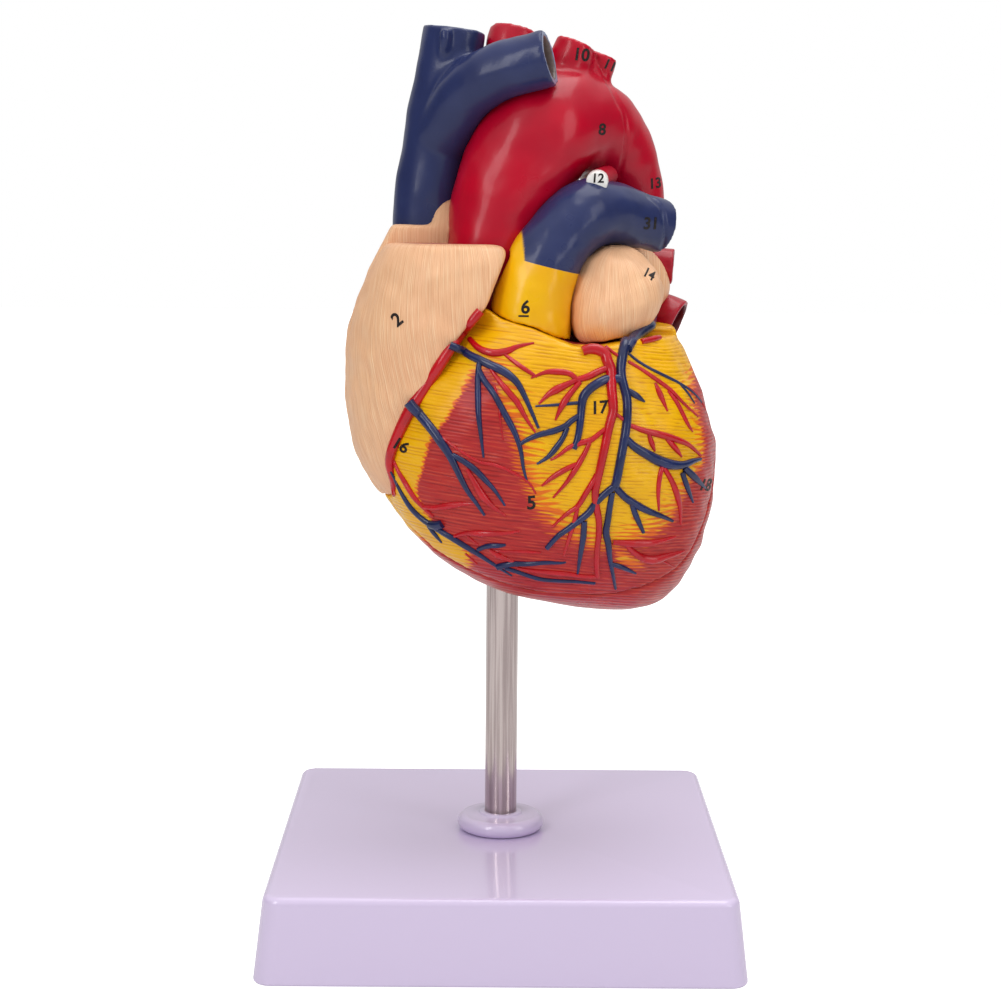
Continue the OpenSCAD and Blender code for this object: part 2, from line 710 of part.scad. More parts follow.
module rod_tube() {
    color(steel)
        translate([0, 0, shoulder_z])
            difference() {
                cylinder(r = rod_r, h = rod_top - shoulder_z, $fn = round_fn);
                translate([0, 0, -1]) cylinder(r = rod_r - rod_wall, h = rod_top, $fn = round_fn);
            }
}

// Threaded plug pressed into the foot of the tube
module rod_insert() {
    color(steel)
        translate([0, 0, shoulder_z])
            difference() {
                cylinder(r = rod_r - rod_wall, h = insert_h, $fn = round_fn);
                translate([0, 0, -1]) cylinder(r = screw_r, h = insert_h + 2, $fn = round_fn);
            }
}

module fixing_screw() {
    socket_r = screw_head_d / 4;
    color(steel)
        difference() {
            union() {
                translate([0, 0, head_clear]) cylinder(d = screw_head_d, h = screw_head_h, $fn = round_fn);
                translate([0, 0, head_clear])
                    cylinder(r = screw_r, h = shoulder_z + insert_h - 3 - head_clear, $fn = round_fn);
            }
            translate([0, 0, head_clear - eps]) cylinder(r = socket_r, h = screw_head_h - 0.8, $fn = 6);
        }
}

module fixing_washer() {
    color(steel)
        translate([0, 0, head_clear + screw_head_h])
            difference() {
                cylinder(d = washer_d, h = washer_t, $fn = round_fn);
                translate([0, 0, -1]) cylinder(r = screw_r + 0.15, h = washer_t + 2, $fn = round_fn);
            }
}

// ---- the heart, fixed part ----

// Where the magnets and pins sit, as [x, h] on the flat part of the seam
ventricle_magnets = [[59.5, 52], [23, 62]];
atrium_magnets = [[-22, 106.8]];
pin_spots = [[20, seat_h - 10], [54.5, seat_h - 21]];

module at_seam(spots) {
    for (s = spots) translate(place([s[0], seam_y, s[1]])) rotate([-90, 0, 0]) children();
}
module rear_magnet_room() {
    translate([0, 0, -1]) cylinder(d = magnet_d, h = magnet_t + 1, $fn = 48);
}
module front_magnet_room() {
    translate([0, 0, -magnet_t - seam_gap]) cylinder(d = magnet_d, h = magnet_t + 1, $fn = 48);
}

module ventricle_rear_wall() {
    color(muscle)
        difference() {
            weld()
                difference() {
                    ventricle_form();
                    chambers();
                    front_side();
                    above(seat_h);
                    aorta_form();
                    trunk_form();
                    lung_vein_forms(left_vein_lines);
                }
            translate([0, 0, heart_z - 10])
                cylinder(r = bush_r, h = 10 + socket_depth + bush_cap, $fn = round_fn);
            at_seam(ventricle_magnets) rear_magnet_room();
            at_seam(pin_spots) translate([0, 0, -1])
                cylinder(r = pin_d / 2 + pin_play, h = pin_reach + 1.5, $fn = 48);
        }
}

module right_atrium_rear_wall() {
    color(peach)
        difference() {
            weld()
                difference() {
                    union() {
                        atrium_form();
                        tube(atrium_horn_line, 14, 2);
                    }
                    chambers();
                    front_side();
                    aorta_form();
                    ventricle_form();
                    cava_form();
                    cava_form(-vessel_wall, 8);
                    inferior_cava_form();
                    left_atrium_form();
                    trunk_form();
                    right_artery_form();
                    lung_vein_forms(right_vein_lines);
                }
            at_seam(atrium_magnets) rear_magnet_room();
        }
}

module rod_socket_bush() {
    color(valve_cream)
        translate([0, 0, heart_z + bush_mouth_h])
            difference() {
                cylinder(r = bush_r, h = socket_depth + bush_cap - bush_mouth_h, $fn = round_fn);
                translate([0, 0, -1])
                    cylinder(r = rod_bore_r, h = socket_depth - bush_mouth_h + 1, $fn = round_fn);
            }
}

module rear_magnets() {
    color(magnet_grey)
        at_seam(concat(ventricle_magnets, atrium_magnets)) cylinder(d = magnet_d, h = magnet_t, $fn = 48);
}

module left_atrium() {
    color(peach)
        weld()
            difference() {
                intersection() {
                    left_atrium_form();
                    above(seat_h);
                }
                left_atrium_form(-left_atrium_wall);
                aorta_form();
                loft(auricle_lines);
                trunk_form();
                right_artery_form();
                lung_vein_forms(left_vein_lines);
                lung_vein_forms(right_vein_lines);
            }
}

module left_auricle() {
    color(peach)
        weld()
            difference() {
                loft(auricle_lines);
                trunk_form();
                aorta_form();
                left_atrium_form(-left_atrium_wall);
                front_part();
                difference() {
                    ventricle_form();
                    above(seat_h);
                    front_side();
                }
                lung_vein_forms(left_vein_lines);
            }
}

module aorta() {
    color(artery_red)
        weld()
            difference() {
                aorta_form();
                aorta_form(-vessel_wall, end_cut);
                branch_forms(-branch_wall, end_cut);
            }
}

module arch_branches() {
    color(artery_red)
        weld()
            difference() {
                branch_forms();
                branch_forms(-branch_wall, end_cut);
                aorta_form();
                cross_vein_form();
                cava_form();
            }
}

module superior_vena_cava() {
    color(vein_blue)
        weld()
            difference() {
                cava_form();
                cava_form(-vessel_wall, end_cut);
                aorta_form();
                cross_vein_form(-vessel_wall);
            }
}

module left_brachiocephalic_vein() {
    color(vein_blue)
        weld()
            difference() {
                cross_vein_form();
                cross_vein_form(-vessel_wall, end_cut);
                aorta_form();
                cava_form();
            }
}

// The trunk and the left pulmonary artery are one tube, parted where the paint changes
module trunk_pipe() {
    difference() {
        trunk_form();
        trunk_form(-vessel_wall, end_cut);
        aorta_form();
        cover_region();
        right_artery_form(-vessel_wall);
    }
}
module over_trunk_parting() {
    at = place([trunk_parting[0], 0, trunk_parting[1]]);
    translate(at) rotate([0, -trunk_parting_angle, 0]) translate([-far, -far, 0])
        cube([2 * far, 2 * far, far]);
}
module pulmonary_trunk() {
    color(yellow)
        weld()
            difference() {
                trunk_pipe();
                over_trunk_parting();
            }
}
module left_pulmonary_artery() {
    color(vein_blue)
        weld()
            intersection() {
                trunk_pipe();
                over_trunk_parting();
            }
}

module right_pulmonary_artery() {
    color(vein_blue)
        weld()
            difference() {
                right_artery_form();
                right_artery_form(-vessel_wall, end_cut);
                aorta_form();
                trunk_form();
                cava_form();
            }
}

module arterial_ligament() {
    color(valve_cream)
        weld()
            difference() {
                tube(ligament_line, 12, 2);
                aorta_form();
                trunk_form();
                right_artery_form();
            }
}

module left_pulmonary_veins() {
    color(artery_red)
        weld()
            difference() {
                lung_vein_forms(left_vein_lines);
                lung_vein_forms(left_vein_lines, -lung_vein_wall, end_cut);
            }
}

module right_pulmonary_veins() {
    color(artery_red)
        weld()
            difference() {
                lung_vein_forms(right_vein_lines);
                lung_vein_forms(right_vein_lines, -lung_vein_wall, end_cut);
                right_artery_form();
                difference() {
                    ventricle_form();
                    above(seat_h);
                }
            }
}

module inferior_vena_cava() {
    color(vein_blue)
        weld()
            difference() {
                inferior_cava_form();
                inferior_cava_form(-vessel_wall, end_cut);
                ventricle_form();
                chamber(right_atrium_balls);
            }
}

// ---- valves and what works them ----

// Flaps round +Z: they hang to a narrower mouth and are parted by slits
module flaps(r, count, turn) {
    mouth = r * 0.6;
    middle = (r + mouth) / 2 + 0.8;
    difference() {
        rotate_extrude($fn = 48)
            polygon([
                [r - flap_t, 0], [r, 0], [middle, -flap_reach * 0.6], [mouth, -flap_reach],
                [mouth - flap_t, -flap_reach], [middle - flap_t, -flap_reach * 0.6],
            ]);
        for (i = [0:count - 1])
            rotate([0, 0, turn + 360 * i / count])
                translate([0, -0.6, -flap_reach - 1]) cube([r + 1, 1.2, flap_reach * 0.75]);
    }
}
module valve_ring(r) {
    rotate_extrude($fn = 48) translate([r - ring_gap - ring_r, 0]) circle(r = ring_r, $fn = 16);
}

module tricuspid_ring() {
    color(valve_cream)
        difference() {
            tricuspid_axis() valve_ring(tricuspid_r);
            front_side(-eps);
        }
}
module tricuspid_flaps() {
    color(valve_cream)
        difference() {
            tricuspid_axis() translate([0, 0, -ring_r]) flaps(tricuspid_r - ring_r, 3, 30);
            front_side(-eps);
        }
}
module mitral_ring() {
    color(valve_cream)
        difference() {
            translate(place(mitral_at)) valve_ring(mitral_r);
            front_side(-eps);
        }
}
module mitral_flaps() {
    color(valve_cream)
        difference() {
            translate(place(mitral_at) - [0, 0, ring_r]) flaps(mitral_r - ring_r, 2, 70);
            front_side(-eps);
        }
}

// Three pockets that close a vessel of inner radius r, round +Z
module pockets(r) {
    pocket_r = r * 0.46;
    for (i = [0:2])
        rotate([0, 0, 120 * i + 60])
            translate([r - pocket_r - 0.3, 0, 0])
                difference() {
                    sphere(r = pocket_r, $fn = 32);
                    sphere(r = pocket_r - flap_t, $fn = 32);
                    translate([-r, -r, 0]) cube([2 * r, 2 * r, r]);
                }
}
module aortic_valve_cusps() {
    at = place([aorta_line[1][0], aorta_line[1][1], aorta_foot_h + 9]);
    color(valve_cream) translate(at) pockets(aorta_r - 1 - vessel_wall);
}
module pulmonary_valve_cusps() {
    at = place([trunk_line[1][0] + 1, trunk_line[1][1] - 1.1, trunk_line[1][2]]);
    color(valve_cream) translate(at) rotate([0, 0, 13]) pockets(pulmonary_trunk_r - 2.3 - vessel_wall);
}

// A papillary muscle: a cone with a round tip, from foot to tip
module papilla(foot, tip) {
    d = tip - foot;
    r = papillary_r * 0.55;
    translate(foot)
        rotate([0, acos(d[2] / norm(d)), atan2(d[1], d[0])])
            rotate_extrude($fn = 14)
                polygon(concat(
                    [[0, 0], [papillary_r, 0]],
                    [for (t = [0:22.5:90]) [r * cos(t), norm(d) - r * (1 - sin(t))]]
                ));
}
module chorda(a, b) {
    d = b - a;
    translate(a) rotate([0, acos(d[2] / norm(d)), atan2(d[1], d[0])])
        cylinder(d = chorda_d, h = norm(d), $fn = 8);
}
// The cords of one muscle run from its tip to the mouth of the flaps
module chordae(tip, mouth, spread) {
    for (a = [0, 1]) chorda(tip - [0, 0, 1], mouth + [0, spread * (a - 0.5), 0]);
}

module right_papillary_muscles() {
    color(muscle)
        weld()
            intersection() {
                for (p = right_papillae) papilla(place(p[0]), place(p[1]));
                chamber(right_ventricle_balls);
            }
}
module left_papillary_muscles() {
    color(muscle)
        weld()
            intersection() {
                for (p = left_papillae) papilla(place(p[0]), place(p[1]));
                chamber(left_ventricle_balls);
            }
}

module chordae_right() {
    color(valve_cream)
        weld()
            difference() {
                for (p = right_papillae) chordae(place(p[1]), place(p[2]), 2);
                for (p = right_papillae) papilla(place(p[0]), place(p[1]));
                tricuspid_axis() translate([0, 0, -ring_r]) flaps(tricuspid_r - ring_r, 3, 30);
            }
}
module chordae_left() {
    color(valve_cream)
        weld()
            difference() {
                for (p = left_papillae) chordae(place(p[1]), place(p[2]), 2);
                for (p = left_papillae) papilla(place(p[0]), place(p[1]));
                translate(place(mitral_at) - [0, 0, ring_r]) flaps(mitral_r - ring_r, 2, 70);
            }
}

// ---- coronary vessels ----

// y of a form's skin at a point of the front view. back = true takes the far side.
function skin_y(rows, x, h, back = false) =
    let (
        l = lookup(h, [for (r = rows) [r[0], r[1]]]),
        r = lookup(h, [for (r = rows) [r[0], r[2]]]),
        f = lookup(h, [for (r = rows) [r[0], r[3]]]),
        b = lookup(h, [for (r = rows) [r[0], r[4]]]),
        u = min(0.999, abs(x - (l + r) / 2) / ((r - l) / 2)),
        depth = (b - f) / 2 * pow(1 - pow(u, fullness), 1 / fullness)
    )
    (f + b) / 2 + (back ? depth : -depth);
// Along the groove a vessel lies on whichever of the two forms stands further out
function surface_y(x, h, back) =
    let (
        v = skin_y(ventricle_rows, x, h, back),
        a = skin_y(atrium_rows, x, h, back),
        beside = x < lookup(h, [for (p = groove_line) [p[1], p[0]]]) + 2.5
    )
    !beside ? v : back ? max(v, a) : min(v, a);

// A route smoothed, in pieces no longer than route_piece
function route_rows(route) = [
    for (i = [0:len(route) - 2])
        let (pieces = ceil(norm([route[i + 1][0] - route[i][0],
            route[i + 1][1] - route[i][1]]) / route_piece))
        for (j = [0:pieces - 1]) between(route, i, j / pieces),
    route[len(route) - 1],
];
// A route of the front view laid on the ventricles' skin, with its radius at each point
function laid(route, r, back) = [
    for (p = route_rows(route))
        [p[0], surface_y(p[0], p[1], back) + (back ? 0.15 : -0.15) * r, p[1], max(0.5, p[2] * r)],
];
module vessels(routes, r, back = false) {
    for (route = routes) tube(laid(route, r, back), route_points, 1, side = [0.05, 1, 0.03]);
}
module front_vessels(routes, r) {
    difference() {
        intersection() {
            vessels(routes, r);
            front_part(seam_gap);
        }
        ventricle_form();
        atrium_form();
    }
}
module rear_vessels(routes, r) {
    difference() {
        vessels(routes, r, true);
        front_side(-1);
        above(seat_h);
        ventricle_form();
        atrium_form();
        inferior_cava_form();
        lung_vein_forms(left_vein_lines);
        lung_vein_forms(right_vein_lines);
    }
}

module front_coronary_arteries() {
    color(artery_red) weld() front_vessels(front_artery_lines, coronary_r);
}
module front_cardiac_veins() {
    color(vein_blue)
        weld()
            difference() {
                front_vessels(front_vein_lines, cardiac_vein_r);
                vessels(front_artery_lines, coronary_r);
            }
}
module rear_coronary_arteries() {
    color(artery_red) weld() rear_vessels(rear_artery_lines, rear_artery_r);
}
module rear_cardiac_veins() {
    color(vein_blue)
        weld()
            difference() {
                rear_vessels(rear_vein_lines, rear_vein_r);
                vessels(rear_artery_lines, rear_artery_r, true);
            }
}

// ---- the front wall, which pulls off ----

module ventricle_front_wall() {
    color(yellow)
        difference() {
            weld()
                difference() {
                    intersection() {
                        ventricle_form();
                        front_part(seam_gap);
                    }
                    chambers();
                    aorta_room(0.5);
                }
            at_seam(ventricle_magnets) front_magnet_room();
        }
}

module right_atrium_front_wall() {
    color(peach)
        difference() {
            weld()
                difference() {
                    intersection() {
                        atrium_form();
                        front_part(seam_gap);
                    }
                    chambers();
                    aorta_room(0.5);
                }
            at_seam(atrium_magnets) front_magnet_room();
        }
}

module front_magnets() {
    color(magnet_grey)
        at_seam(concat(ventricle_magnets, atrium_magnets))
            translate([0, 0, -magnet_t - seam_gap]) cylinder(d = magnet_d, h = magnet_t, $fn = 48);
}

module locating_pins() {
    color(valve_cream)
        at_seam(pin_spots) translate([0, 0, -seam_gap]) cylinder(d = pin_d, h = pin_reach, $fn = 48);
}

base_shell();
rod_collar();
rod_tube();
rod_insert();
fixing_screw();
fixing_washer();
ventricle_rear_wall();
right_atrium_rear_wall();
left_atrium();
left_auricle();
rod_socket_bush();
rear_magnets();
aorta();
arch_branches();
superior_vena_cava();
left_brachiocephalic_vein();
pulmonary_trunk();
left_pulmonary_artery();
right_pulmonary_artery();
arterial_ligament();
left_pulmonary_veins();
right_pulmonary_veins();
inferior_vena_cava();
tricuspid_ring();
tricuspid_flaps();
mitral_ring();
mitral_flaps();
aortic_valve_cusps();
pulmonary_valve_cusps();
right_papillary_muscles();
left_papillary_muscles();
chordae_right();
chordae_left();
rear_coronary_arteries();
rear_cardiac_veins();
ventricle_front_wall();
right_atrium_front_wall();
front_magnets();
locating_pins();
front_coronary_arteries();
front_cardiac_veins();
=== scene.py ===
import json
import math

import bmesh
import bpy
import numpy as np
from mathutils import Matrix, Vector
from mathutils.bvhtree import BVHTree

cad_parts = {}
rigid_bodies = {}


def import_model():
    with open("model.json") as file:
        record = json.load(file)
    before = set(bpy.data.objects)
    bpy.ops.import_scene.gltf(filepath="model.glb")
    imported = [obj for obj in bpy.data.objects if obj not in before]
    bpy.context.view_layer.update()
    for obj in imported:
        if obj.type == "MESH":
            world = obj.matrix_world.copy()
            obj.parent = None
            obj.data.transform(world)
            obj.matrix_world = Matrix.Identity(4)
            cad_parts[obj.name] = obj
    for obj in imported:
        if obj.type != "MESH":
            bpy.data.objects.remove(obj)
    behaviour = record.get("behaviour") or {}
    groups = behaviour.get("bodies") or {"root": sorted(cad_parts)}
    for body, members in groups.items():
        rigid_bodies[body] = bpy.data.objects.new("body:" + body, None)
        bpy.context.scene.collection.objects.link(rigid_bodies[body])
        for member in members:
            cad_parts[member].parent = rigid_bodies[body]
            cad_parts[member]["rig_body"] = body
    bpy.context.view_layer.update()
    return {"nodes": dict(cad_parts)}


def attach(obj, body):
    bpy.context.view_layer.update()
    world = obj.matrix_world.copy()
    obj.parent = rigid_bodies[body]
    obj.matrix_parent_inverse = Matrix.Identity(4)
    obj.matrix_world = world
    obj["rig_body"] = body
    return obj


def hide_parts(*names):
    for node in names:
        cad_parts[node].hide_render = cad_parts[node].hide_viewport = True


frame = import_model()
print("frame loaded with", len(frame["nodes"]), "nodes")

# The pieces are drawn in millimetres: x to the right, y to the back, z up from the table.
# The heart's tables count h from the lowest point of the ventricles, at z = heartLow.
heartLow = 97
made = {}


camera = {
    "place": (-3.837, -643.84, 227.99),
    "pitch": 0.1517, "yaw": 0.0047, "roll": 0.008,  # radians
    "focal": 2110.28, "picture": 1001,  # both in pixels, the picture's width
    "sensor": 36,  # millimetres
}


def placeCamera(c):
    cp, sp, cy, sy = math.cos(c["pitch"]), math.sin(c["pitch"]), math.cos(c["yaw"]), math.sin(c["yaw"])
    ahead = Vector((sy * cp, cy * cp, -sp))
    up = Vector((sy * sp, cy * sp, cp))
    right = Vector((cy, -sy, 0))
    cr, sr = math.cos(c["roll"]), math.sin(c["roll"])
    right, up = cr * right + sr * up, -sr * right + cr * up
    data = bpy.data.cameras.new("studioCamera")
    data.sensor_width = c["sensor"]
    data.lens = c["sensor"] * c["focal"] / c["picture"]
    data.clip_start, data.clip_end = 0.05, 20
    obj = bpy.data.objects.new("studioCamera", data)
    turn = Matrix((right, up, -ahead)).transposed().to_4x4()
    obj.matrix_world = Matrix.Translation(Vector(c["place"]) * 0.001) @ turn
    bpy.context.scene.collection.objects.link(obj)
    bpy.context.scene.camera = obj


def areaLight(name, place, target, size, watts, colour=(1, 1, 1)):
    data = bpy.data.lights.new(name, "AREA")
    data.shape, data.size, data.size_y = "RECTANGLE", size[0], size[1]
    data.energy, data.color = watts, colour
    obj = bpy.data.objects.new(name, data)
    obj.location = place
    obj.rotation_euler = (Vector(target) - Vector(place)).to_track_quat("-Z", "Y").to_euler()
    bpy.context.scene.collection.objects.link(obj)


lights = {
    "backdrop": 1.0, "sky": 0.92, "horizon": 0.42, "sides": 0.08,
    "key": {"place": (-0.6, -0.8, 0.7), "size": (0.3, 0.75), "watts": 3.3},
    "fill": {"place": (0.8, -0.6, 0.5), "size": (0.3, 0.7), "watts": 1.6},
    "top": {"place": (0.15, 0.05, 1.0), "size": (0.7, 0.6), "watts": 3.7},
}


def lightStudio(p):
    # the backdrop is white, and the light on the model is softer: brighter above, darker at the sides
    world = bpy.data.worlds.new("studioWhite")
    world.use_nodes = True
    tree = world.node_tree
    tree.nodes.clear()
    way = tree.nodes.new("ShaderNodeTexCoord").outputs["Generated"]
    parts = tree.nodes.new("ShaderNodeSeparateXYZ")
    tree.links.new(way, parts.inputs[0])
    height = worldRamp(tree, parts.outputs["Z"], 0.0, 0.9, p["horizon"], p["sky"])
    aside = tree.nodes.new("ShaderNodeMath")
    aside.operation = "ABSOLUTE"
    tree.links.new(parts.outputs["X"], aside.inputs[0])
    flank = worldRamp(tree, aside.outputs[0], 0.72, 0.9, 1.0, p["sides"] / p["horizon"])
    level = tree.nodes.new("ShaderNodeMath")
    level.operation = "MULTIPLY"
    tree.links.new(height, level.inputs[0])
    tree.links.new(flank, level.inputs[1])
    soft, plain = tree.nodes.new("ShaderNodeBackground"), tree.nodes.new("ShaderNodeBackground")
    tree.links.new(level.outputs[0], soft.inputs["Strength"])
    soft.inputs["Color"].default_value = plain.inputs["Color"].default_value = (1, 1, 1, 1)
    plain.inputs["Strength"].default_value = p["backdrop"]
    mix, out = tree.nodes.new("ShaderNodeMixShader"), tree.nodes.new("ShaderNodeOutputWorld")
    tree.links.new(tree.nodes.new("ShaderNodeLightPath").outputs["Is Camera Ray"], mix.inputs[0])
    tree.links.new(soft.outputs[0], mix.inputs[1])
    tree.links.new(plain.outputs[0], mix.inputs[2])
    tree.links.new(mix.outputs[0], out.inputs["Surface"])
    bpy.context.scene.world = world
    for name in ("key", "fill", "top"):
        areaLight(name + "Light", p[name]["place"], (0, 0, 0.17), p[name]["size"], p[name]["watts"])


def worldRamp(tree, value, low, high, toLow, toHigh):
    node = tree.nodes.new("ShaderNodeMapRange")
    node.interpolation_type = "SMOOTHSTEP"
    tree.links.new(value, node.inputs["Value"])
    for key, number in (("From Min", low), ("From Max", high), ("To Min", toLow), ("To Max", toHigh)):
        node.inputs[key].default_value = number
    return node.outputs["Result"]


placeCamera(camera)
lightStudio(lights)
print("camera and lights placed")


def smoothRows(rows, steps):
    rows, n, out = np.array(rows, float), len(rows), []
    for i in range(n - 1):
        a, b, c, d = rows[max(0, i - 1)], rows[i], rows[min(n - 1, i + 1)], rows[min(n - 1, i + 2)]
        for t in np.arange(steps) / steps:
            out.append(0.5 * (2 * b + (c - a) * t + (2 * a - 5 * b + 4 * c - d) * t * t
                              + (3 * b - a - 3 * c + d) * t ** 3))
    return np.array(out + [rows[-1]])


def meshObject(name, points, faces):
    mesh = bpy.data.meshes.new(name)
    mesh.from_pydata([tuple(map(float, p)) for p in points], [], faces)
    obj = bpy.data.objects.new(name, mesh)
    bpy.context.scene.collection.objects.link(obj)
    return obj


def outwards(obj):
    bm = bmesh.new()
    bm.from_mesh(obj.data)
    bmesh.ops.remove_doubles(bm, verts=bm.verts, dist=1e-4)
    bmesh.ops.recalc_face_normals(bm, faces=bm.faces)
    if bm.calc_volume(signed=True) < 0:
        bmesh.ops.reverse_faces(bm, faces=bm.faces)
    bm.to_mesh(obj.data)
    bm.free()
    return obj


def ringSkin(name, rings, closed=False):
    n, seg = len(rings), len(rings[0])
    faces = []
    for i in range(n if closed else n - 1):
        k = (i + 1) % n
        for j in range(seg):
            m = (j + 1) % seg
            faces.append((i * seg + j, i * seg + m, k * seg + m, k * seg + j))
    if not closed:
        faces.append(tuple(range(seg - 1, -1, -1)))
        faces.append(tuple((n - 1) * seg + j for j in range(seg)))
    return outwards(meshObject(name, np.concatenate(rings), faces))


def outlineLoft(name, lines, seg=128, steps=9):
    angles = 2 * math.pi * np.arange(seg) / seg
    cx, sx = np.cos(angles), np.sin(angles)
    bend = 2 / fullness
    rings = []
    for h, left, right, front, back in smoothRows(lines, steps):
        x = (left + right) / 2 + (right - left) / 2 * np.sign(cx) * np.abs(cx) ** bend
        y = (front + back) / 2 + (back - front) / 2 * np.sign(sx) * np.abs(sx) ** bend
        rings.append(np.stack([x, y, np.full(seg, heartLow + h)], 1))
    return ringSkin(name, rings)


def pipe(name, line, grow=0, longer=0, side=(0, 1, 0), seg=48, steps=8):
    rows = smoothRows(line, steps)
    rows[:, 2] += heartLow
    if longer:
        for end, near in ((0, 1), (-1, -2)):
            way = rows[end, :3] - rows[near, :3]
            rows[end, :3] += way / np.linalg.norm(way) * longer
    angles = 2 * math.pi * np.arange(seg) / seg
    rings = []
    for i, row in enumerate(rows):
        along = rows[min(len(rows) - 1, i + 1), :3] - rows[max(0, i - 1), :3]
        along /= np.linalg.norm(along)
        u = np.cross(side, along)
        u /= np.linalg.norm(u)
        v = np.cross(along, u)
        rings.append(row[:3] + (row[3] + grow) * (np.outer(np.cos(angles), u) + np.outer(np.sin(angles), v)))
    return ringSkin(name, rings)


def prism(name, outline, low, high, axis):
    # outline lies in the front view (axis "y") or the side view (axis "x")
    rings = []
    for depth in (low, high):
        rings.append([(a, depth, b) if axis == "y" else (depth, a, b) for a, b in outline])
    return ringSkin(name, [np.array(r, float) for r in rings])


def block(name, low, high):
    x0, y0, z0 = low
    x1, y1, z1 = high
    return prism(name, [(x0, z0), (x1, z0), (x1, z1), (x0, z1)], y0, y1, "y")


def rod(name, radius, low, high, centre=(0, 0), seg=96, axis="z"):
    # a plain round bar along z, or along y with centre = (x, z)
    angles = 2 * math.pi * np.arange(seg) / seg
    c, s = radius * np.cos(angles), radius * np.sin(angles)
    if axis == "z":
        rings = [np.stack([centre[0] + c, centre[1] + s, np.full(seg, z)], 1) for z in (low, high)]
    else:
        rings = [np.stack([centre[0] + c, np.full(seg, y), centre[1] + s], 1) for y in (low, high)]
    return ringSkin(name, rings)


def turned(name, profile, seg=96):
    # a closed profile of (radius, z) turned round z
    angles = 2 * math.pi * np.arange(seg) / seg
    rings = [np.stack([r * np.cos(angles), r * np.sin(angles), np.full(seg, z)], 1) for r, z in profile]
    return ringSkin(name, rings, closed=True)


def roundBlob(name, at, size, grow=0):
    bm = bmesh.new()
    bmesh.ops.create_uvsphere(bm, u_segments=64, v_segments=32, radius=1)
    scale = [s + grow for s in size]
    for v in bm.verts:
        v.co = Vector([at[k] + v.co[k] * scale[k] for k in range(3)]) + Vector((0, 0, heartLow))
    mesh = bpy.data.meshes.new(name)
    bm.to_mesh(mesh)
    bm.free()
    obj = bpy.data.objects.new(name, mesh)
    bpy.context.scene.collection.objects.link(obj)
    return outwards(obj)


def bake(obj):
    graph = bpy.context.evaluated_depsgraph_get()
    mesh = bpy.data.meshes.new_from_object(obj.evaluated_get(graph))
    obj.modifiers.clear()
    obj.data = mesh


def combine(obj, others, operation):
    for other in others:
        m = obj.modifiers.new("combine", "BOOLEAN")
        m.operation, m.solver, m.object = operation, "MANIFOLD", other
    bake(obj)
    for other in others:
        bpy.data.objects.remove(other)
    return obj


def cut(obj, *others):
    return combine(obj, others, "DIFFERENCE")


def fuse(obj, *others):
    return combine(obj, others, "UNION")


def within(obj, *others):
    return combine(obj, others, "INTERSECT")


def points(obj):
    co = np.zeros(len(obj.data.vertices) * 3)
    obj.data.vertices.foreach_get("co", co)
    return co.reshape(-1, 3)


def setPoints(obj, co):
    obj.data.vertices.foreach_set("co", np.ascontiguousarray(co).ravel())
    obj.data.update()


def normals(obj):
    n = np.zeros(len(obj.data.vertices) * 3)
    obj.data.vertices.foreach_get("normal", n)
    return n.reshape(-1, 3)


def settle(obj, passes, weight=None):
    # each point moves halfway to the middle of its neighbours, as far as weight lets it
    co = points(obj)
    edges = np.zeros(len(obj.data.edges) * 2, int)
    obj.data.edges.foreach_get("vertices", edges)
    a, b = edges.reshape(-1, 2).T
    count = np.maximum(np.bincount(a, minlength=len(co)) + np.bincount(b, minlength=len(co)), 1)[:, None]
    w = 0.5 if weight is None else 0.5 * weight[:, None]
    for _ in range(passes):
        total = np.stack([np.bincount(a, co[b, k], len(co)) + np.bincount(b, co[a, k], len(co))
                          for k in range(3)], 1)
        co = co + w * (total / count - co)
    setPoints(obj, co)


def soften(obj, cell, passes):
    m = obj.modifiers.new("skin", "REMESH")
    m.mode, m.voxel_size, m.adaptivity = "VOXEL", cell, 0
    bake(obj)
    settle(obj, passes)


def softNoise(co, size, seed):
    # a smooth field of about -1 to 1 that changes over the given distance
    rng = np.random.default_rng(seed)
    total = np.zeros(len(co))
    for _ in range(12):
        way = rng.normal(size=3)
        way *= 2 * math.pi / size * rng.uniform(0.6, 1.5) / np.linalg.norm(way)
        total += np.sin(co @ way + rng.uniform(0, 2 * math.pi))
    return total / 3.5


def swell(obj, relief, mask=1.0):
    # lifts the skin along its normals by the rows of relief: (height, distance, seed)
    co, n = points(obj), normals(obj)
    lift = sum(height * softNoise(co, size, seed) for height, size, seed in relief)
    setPoints(obj, co + n * (lift * mask)[:, None])


def attribute(obj, name, values):
    a = obj.data.attributes.new(name, "FLOAT", "POINT")
    a.data.foreach_set("value", np.ascontiguousarray(values, np.float32))


def ramp(x, low, high):
    t = np.clip((x - low) / (high - low), 0, 1)
    return t * t * (3 - 2 * t)


def finish(obj, name, body, material, nodes=(), sharp=None):
    # turns a piece drawn in millimetres into a finished one, in metres
    obj.data.transform(Matrix.Scale(0.001, 4))
    obj.name = obj.data.name = name
    obj.data.polygons.foreach_set("use_smooth", [True] * len(obj.data.polygons))
    if sharp:
        obj.data.set_sharp_from_angle(angle=math.radians(sharp))
    obj.data.materials.clear()
    obj.data.materials.append(material)
    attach(obj, body)
    if nodes:
        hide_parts(*nodes)
    made[name] = obj
    print(" ", name, len(obj.data.polygons), "faces")


def shade(r, g, b):
    # a colour as it looks on a screen, 0 to 255, as the light values that the shader wants
    return tuple(v / 12.92 if v <= 0.04045 else ((v + 0.055) / 1.055) ** 2.4
                 for v in (r / 255, g / 255, b / 255))


def feed(tree, socket, value):
    if isinstance(value, bpy.types.NodeSocket):
        tree.links.new(value, socket)
    elif socket.type == "RGBA":
        socket.default_value = (*value[:3], 1)
    else:
        socket.default_value = value


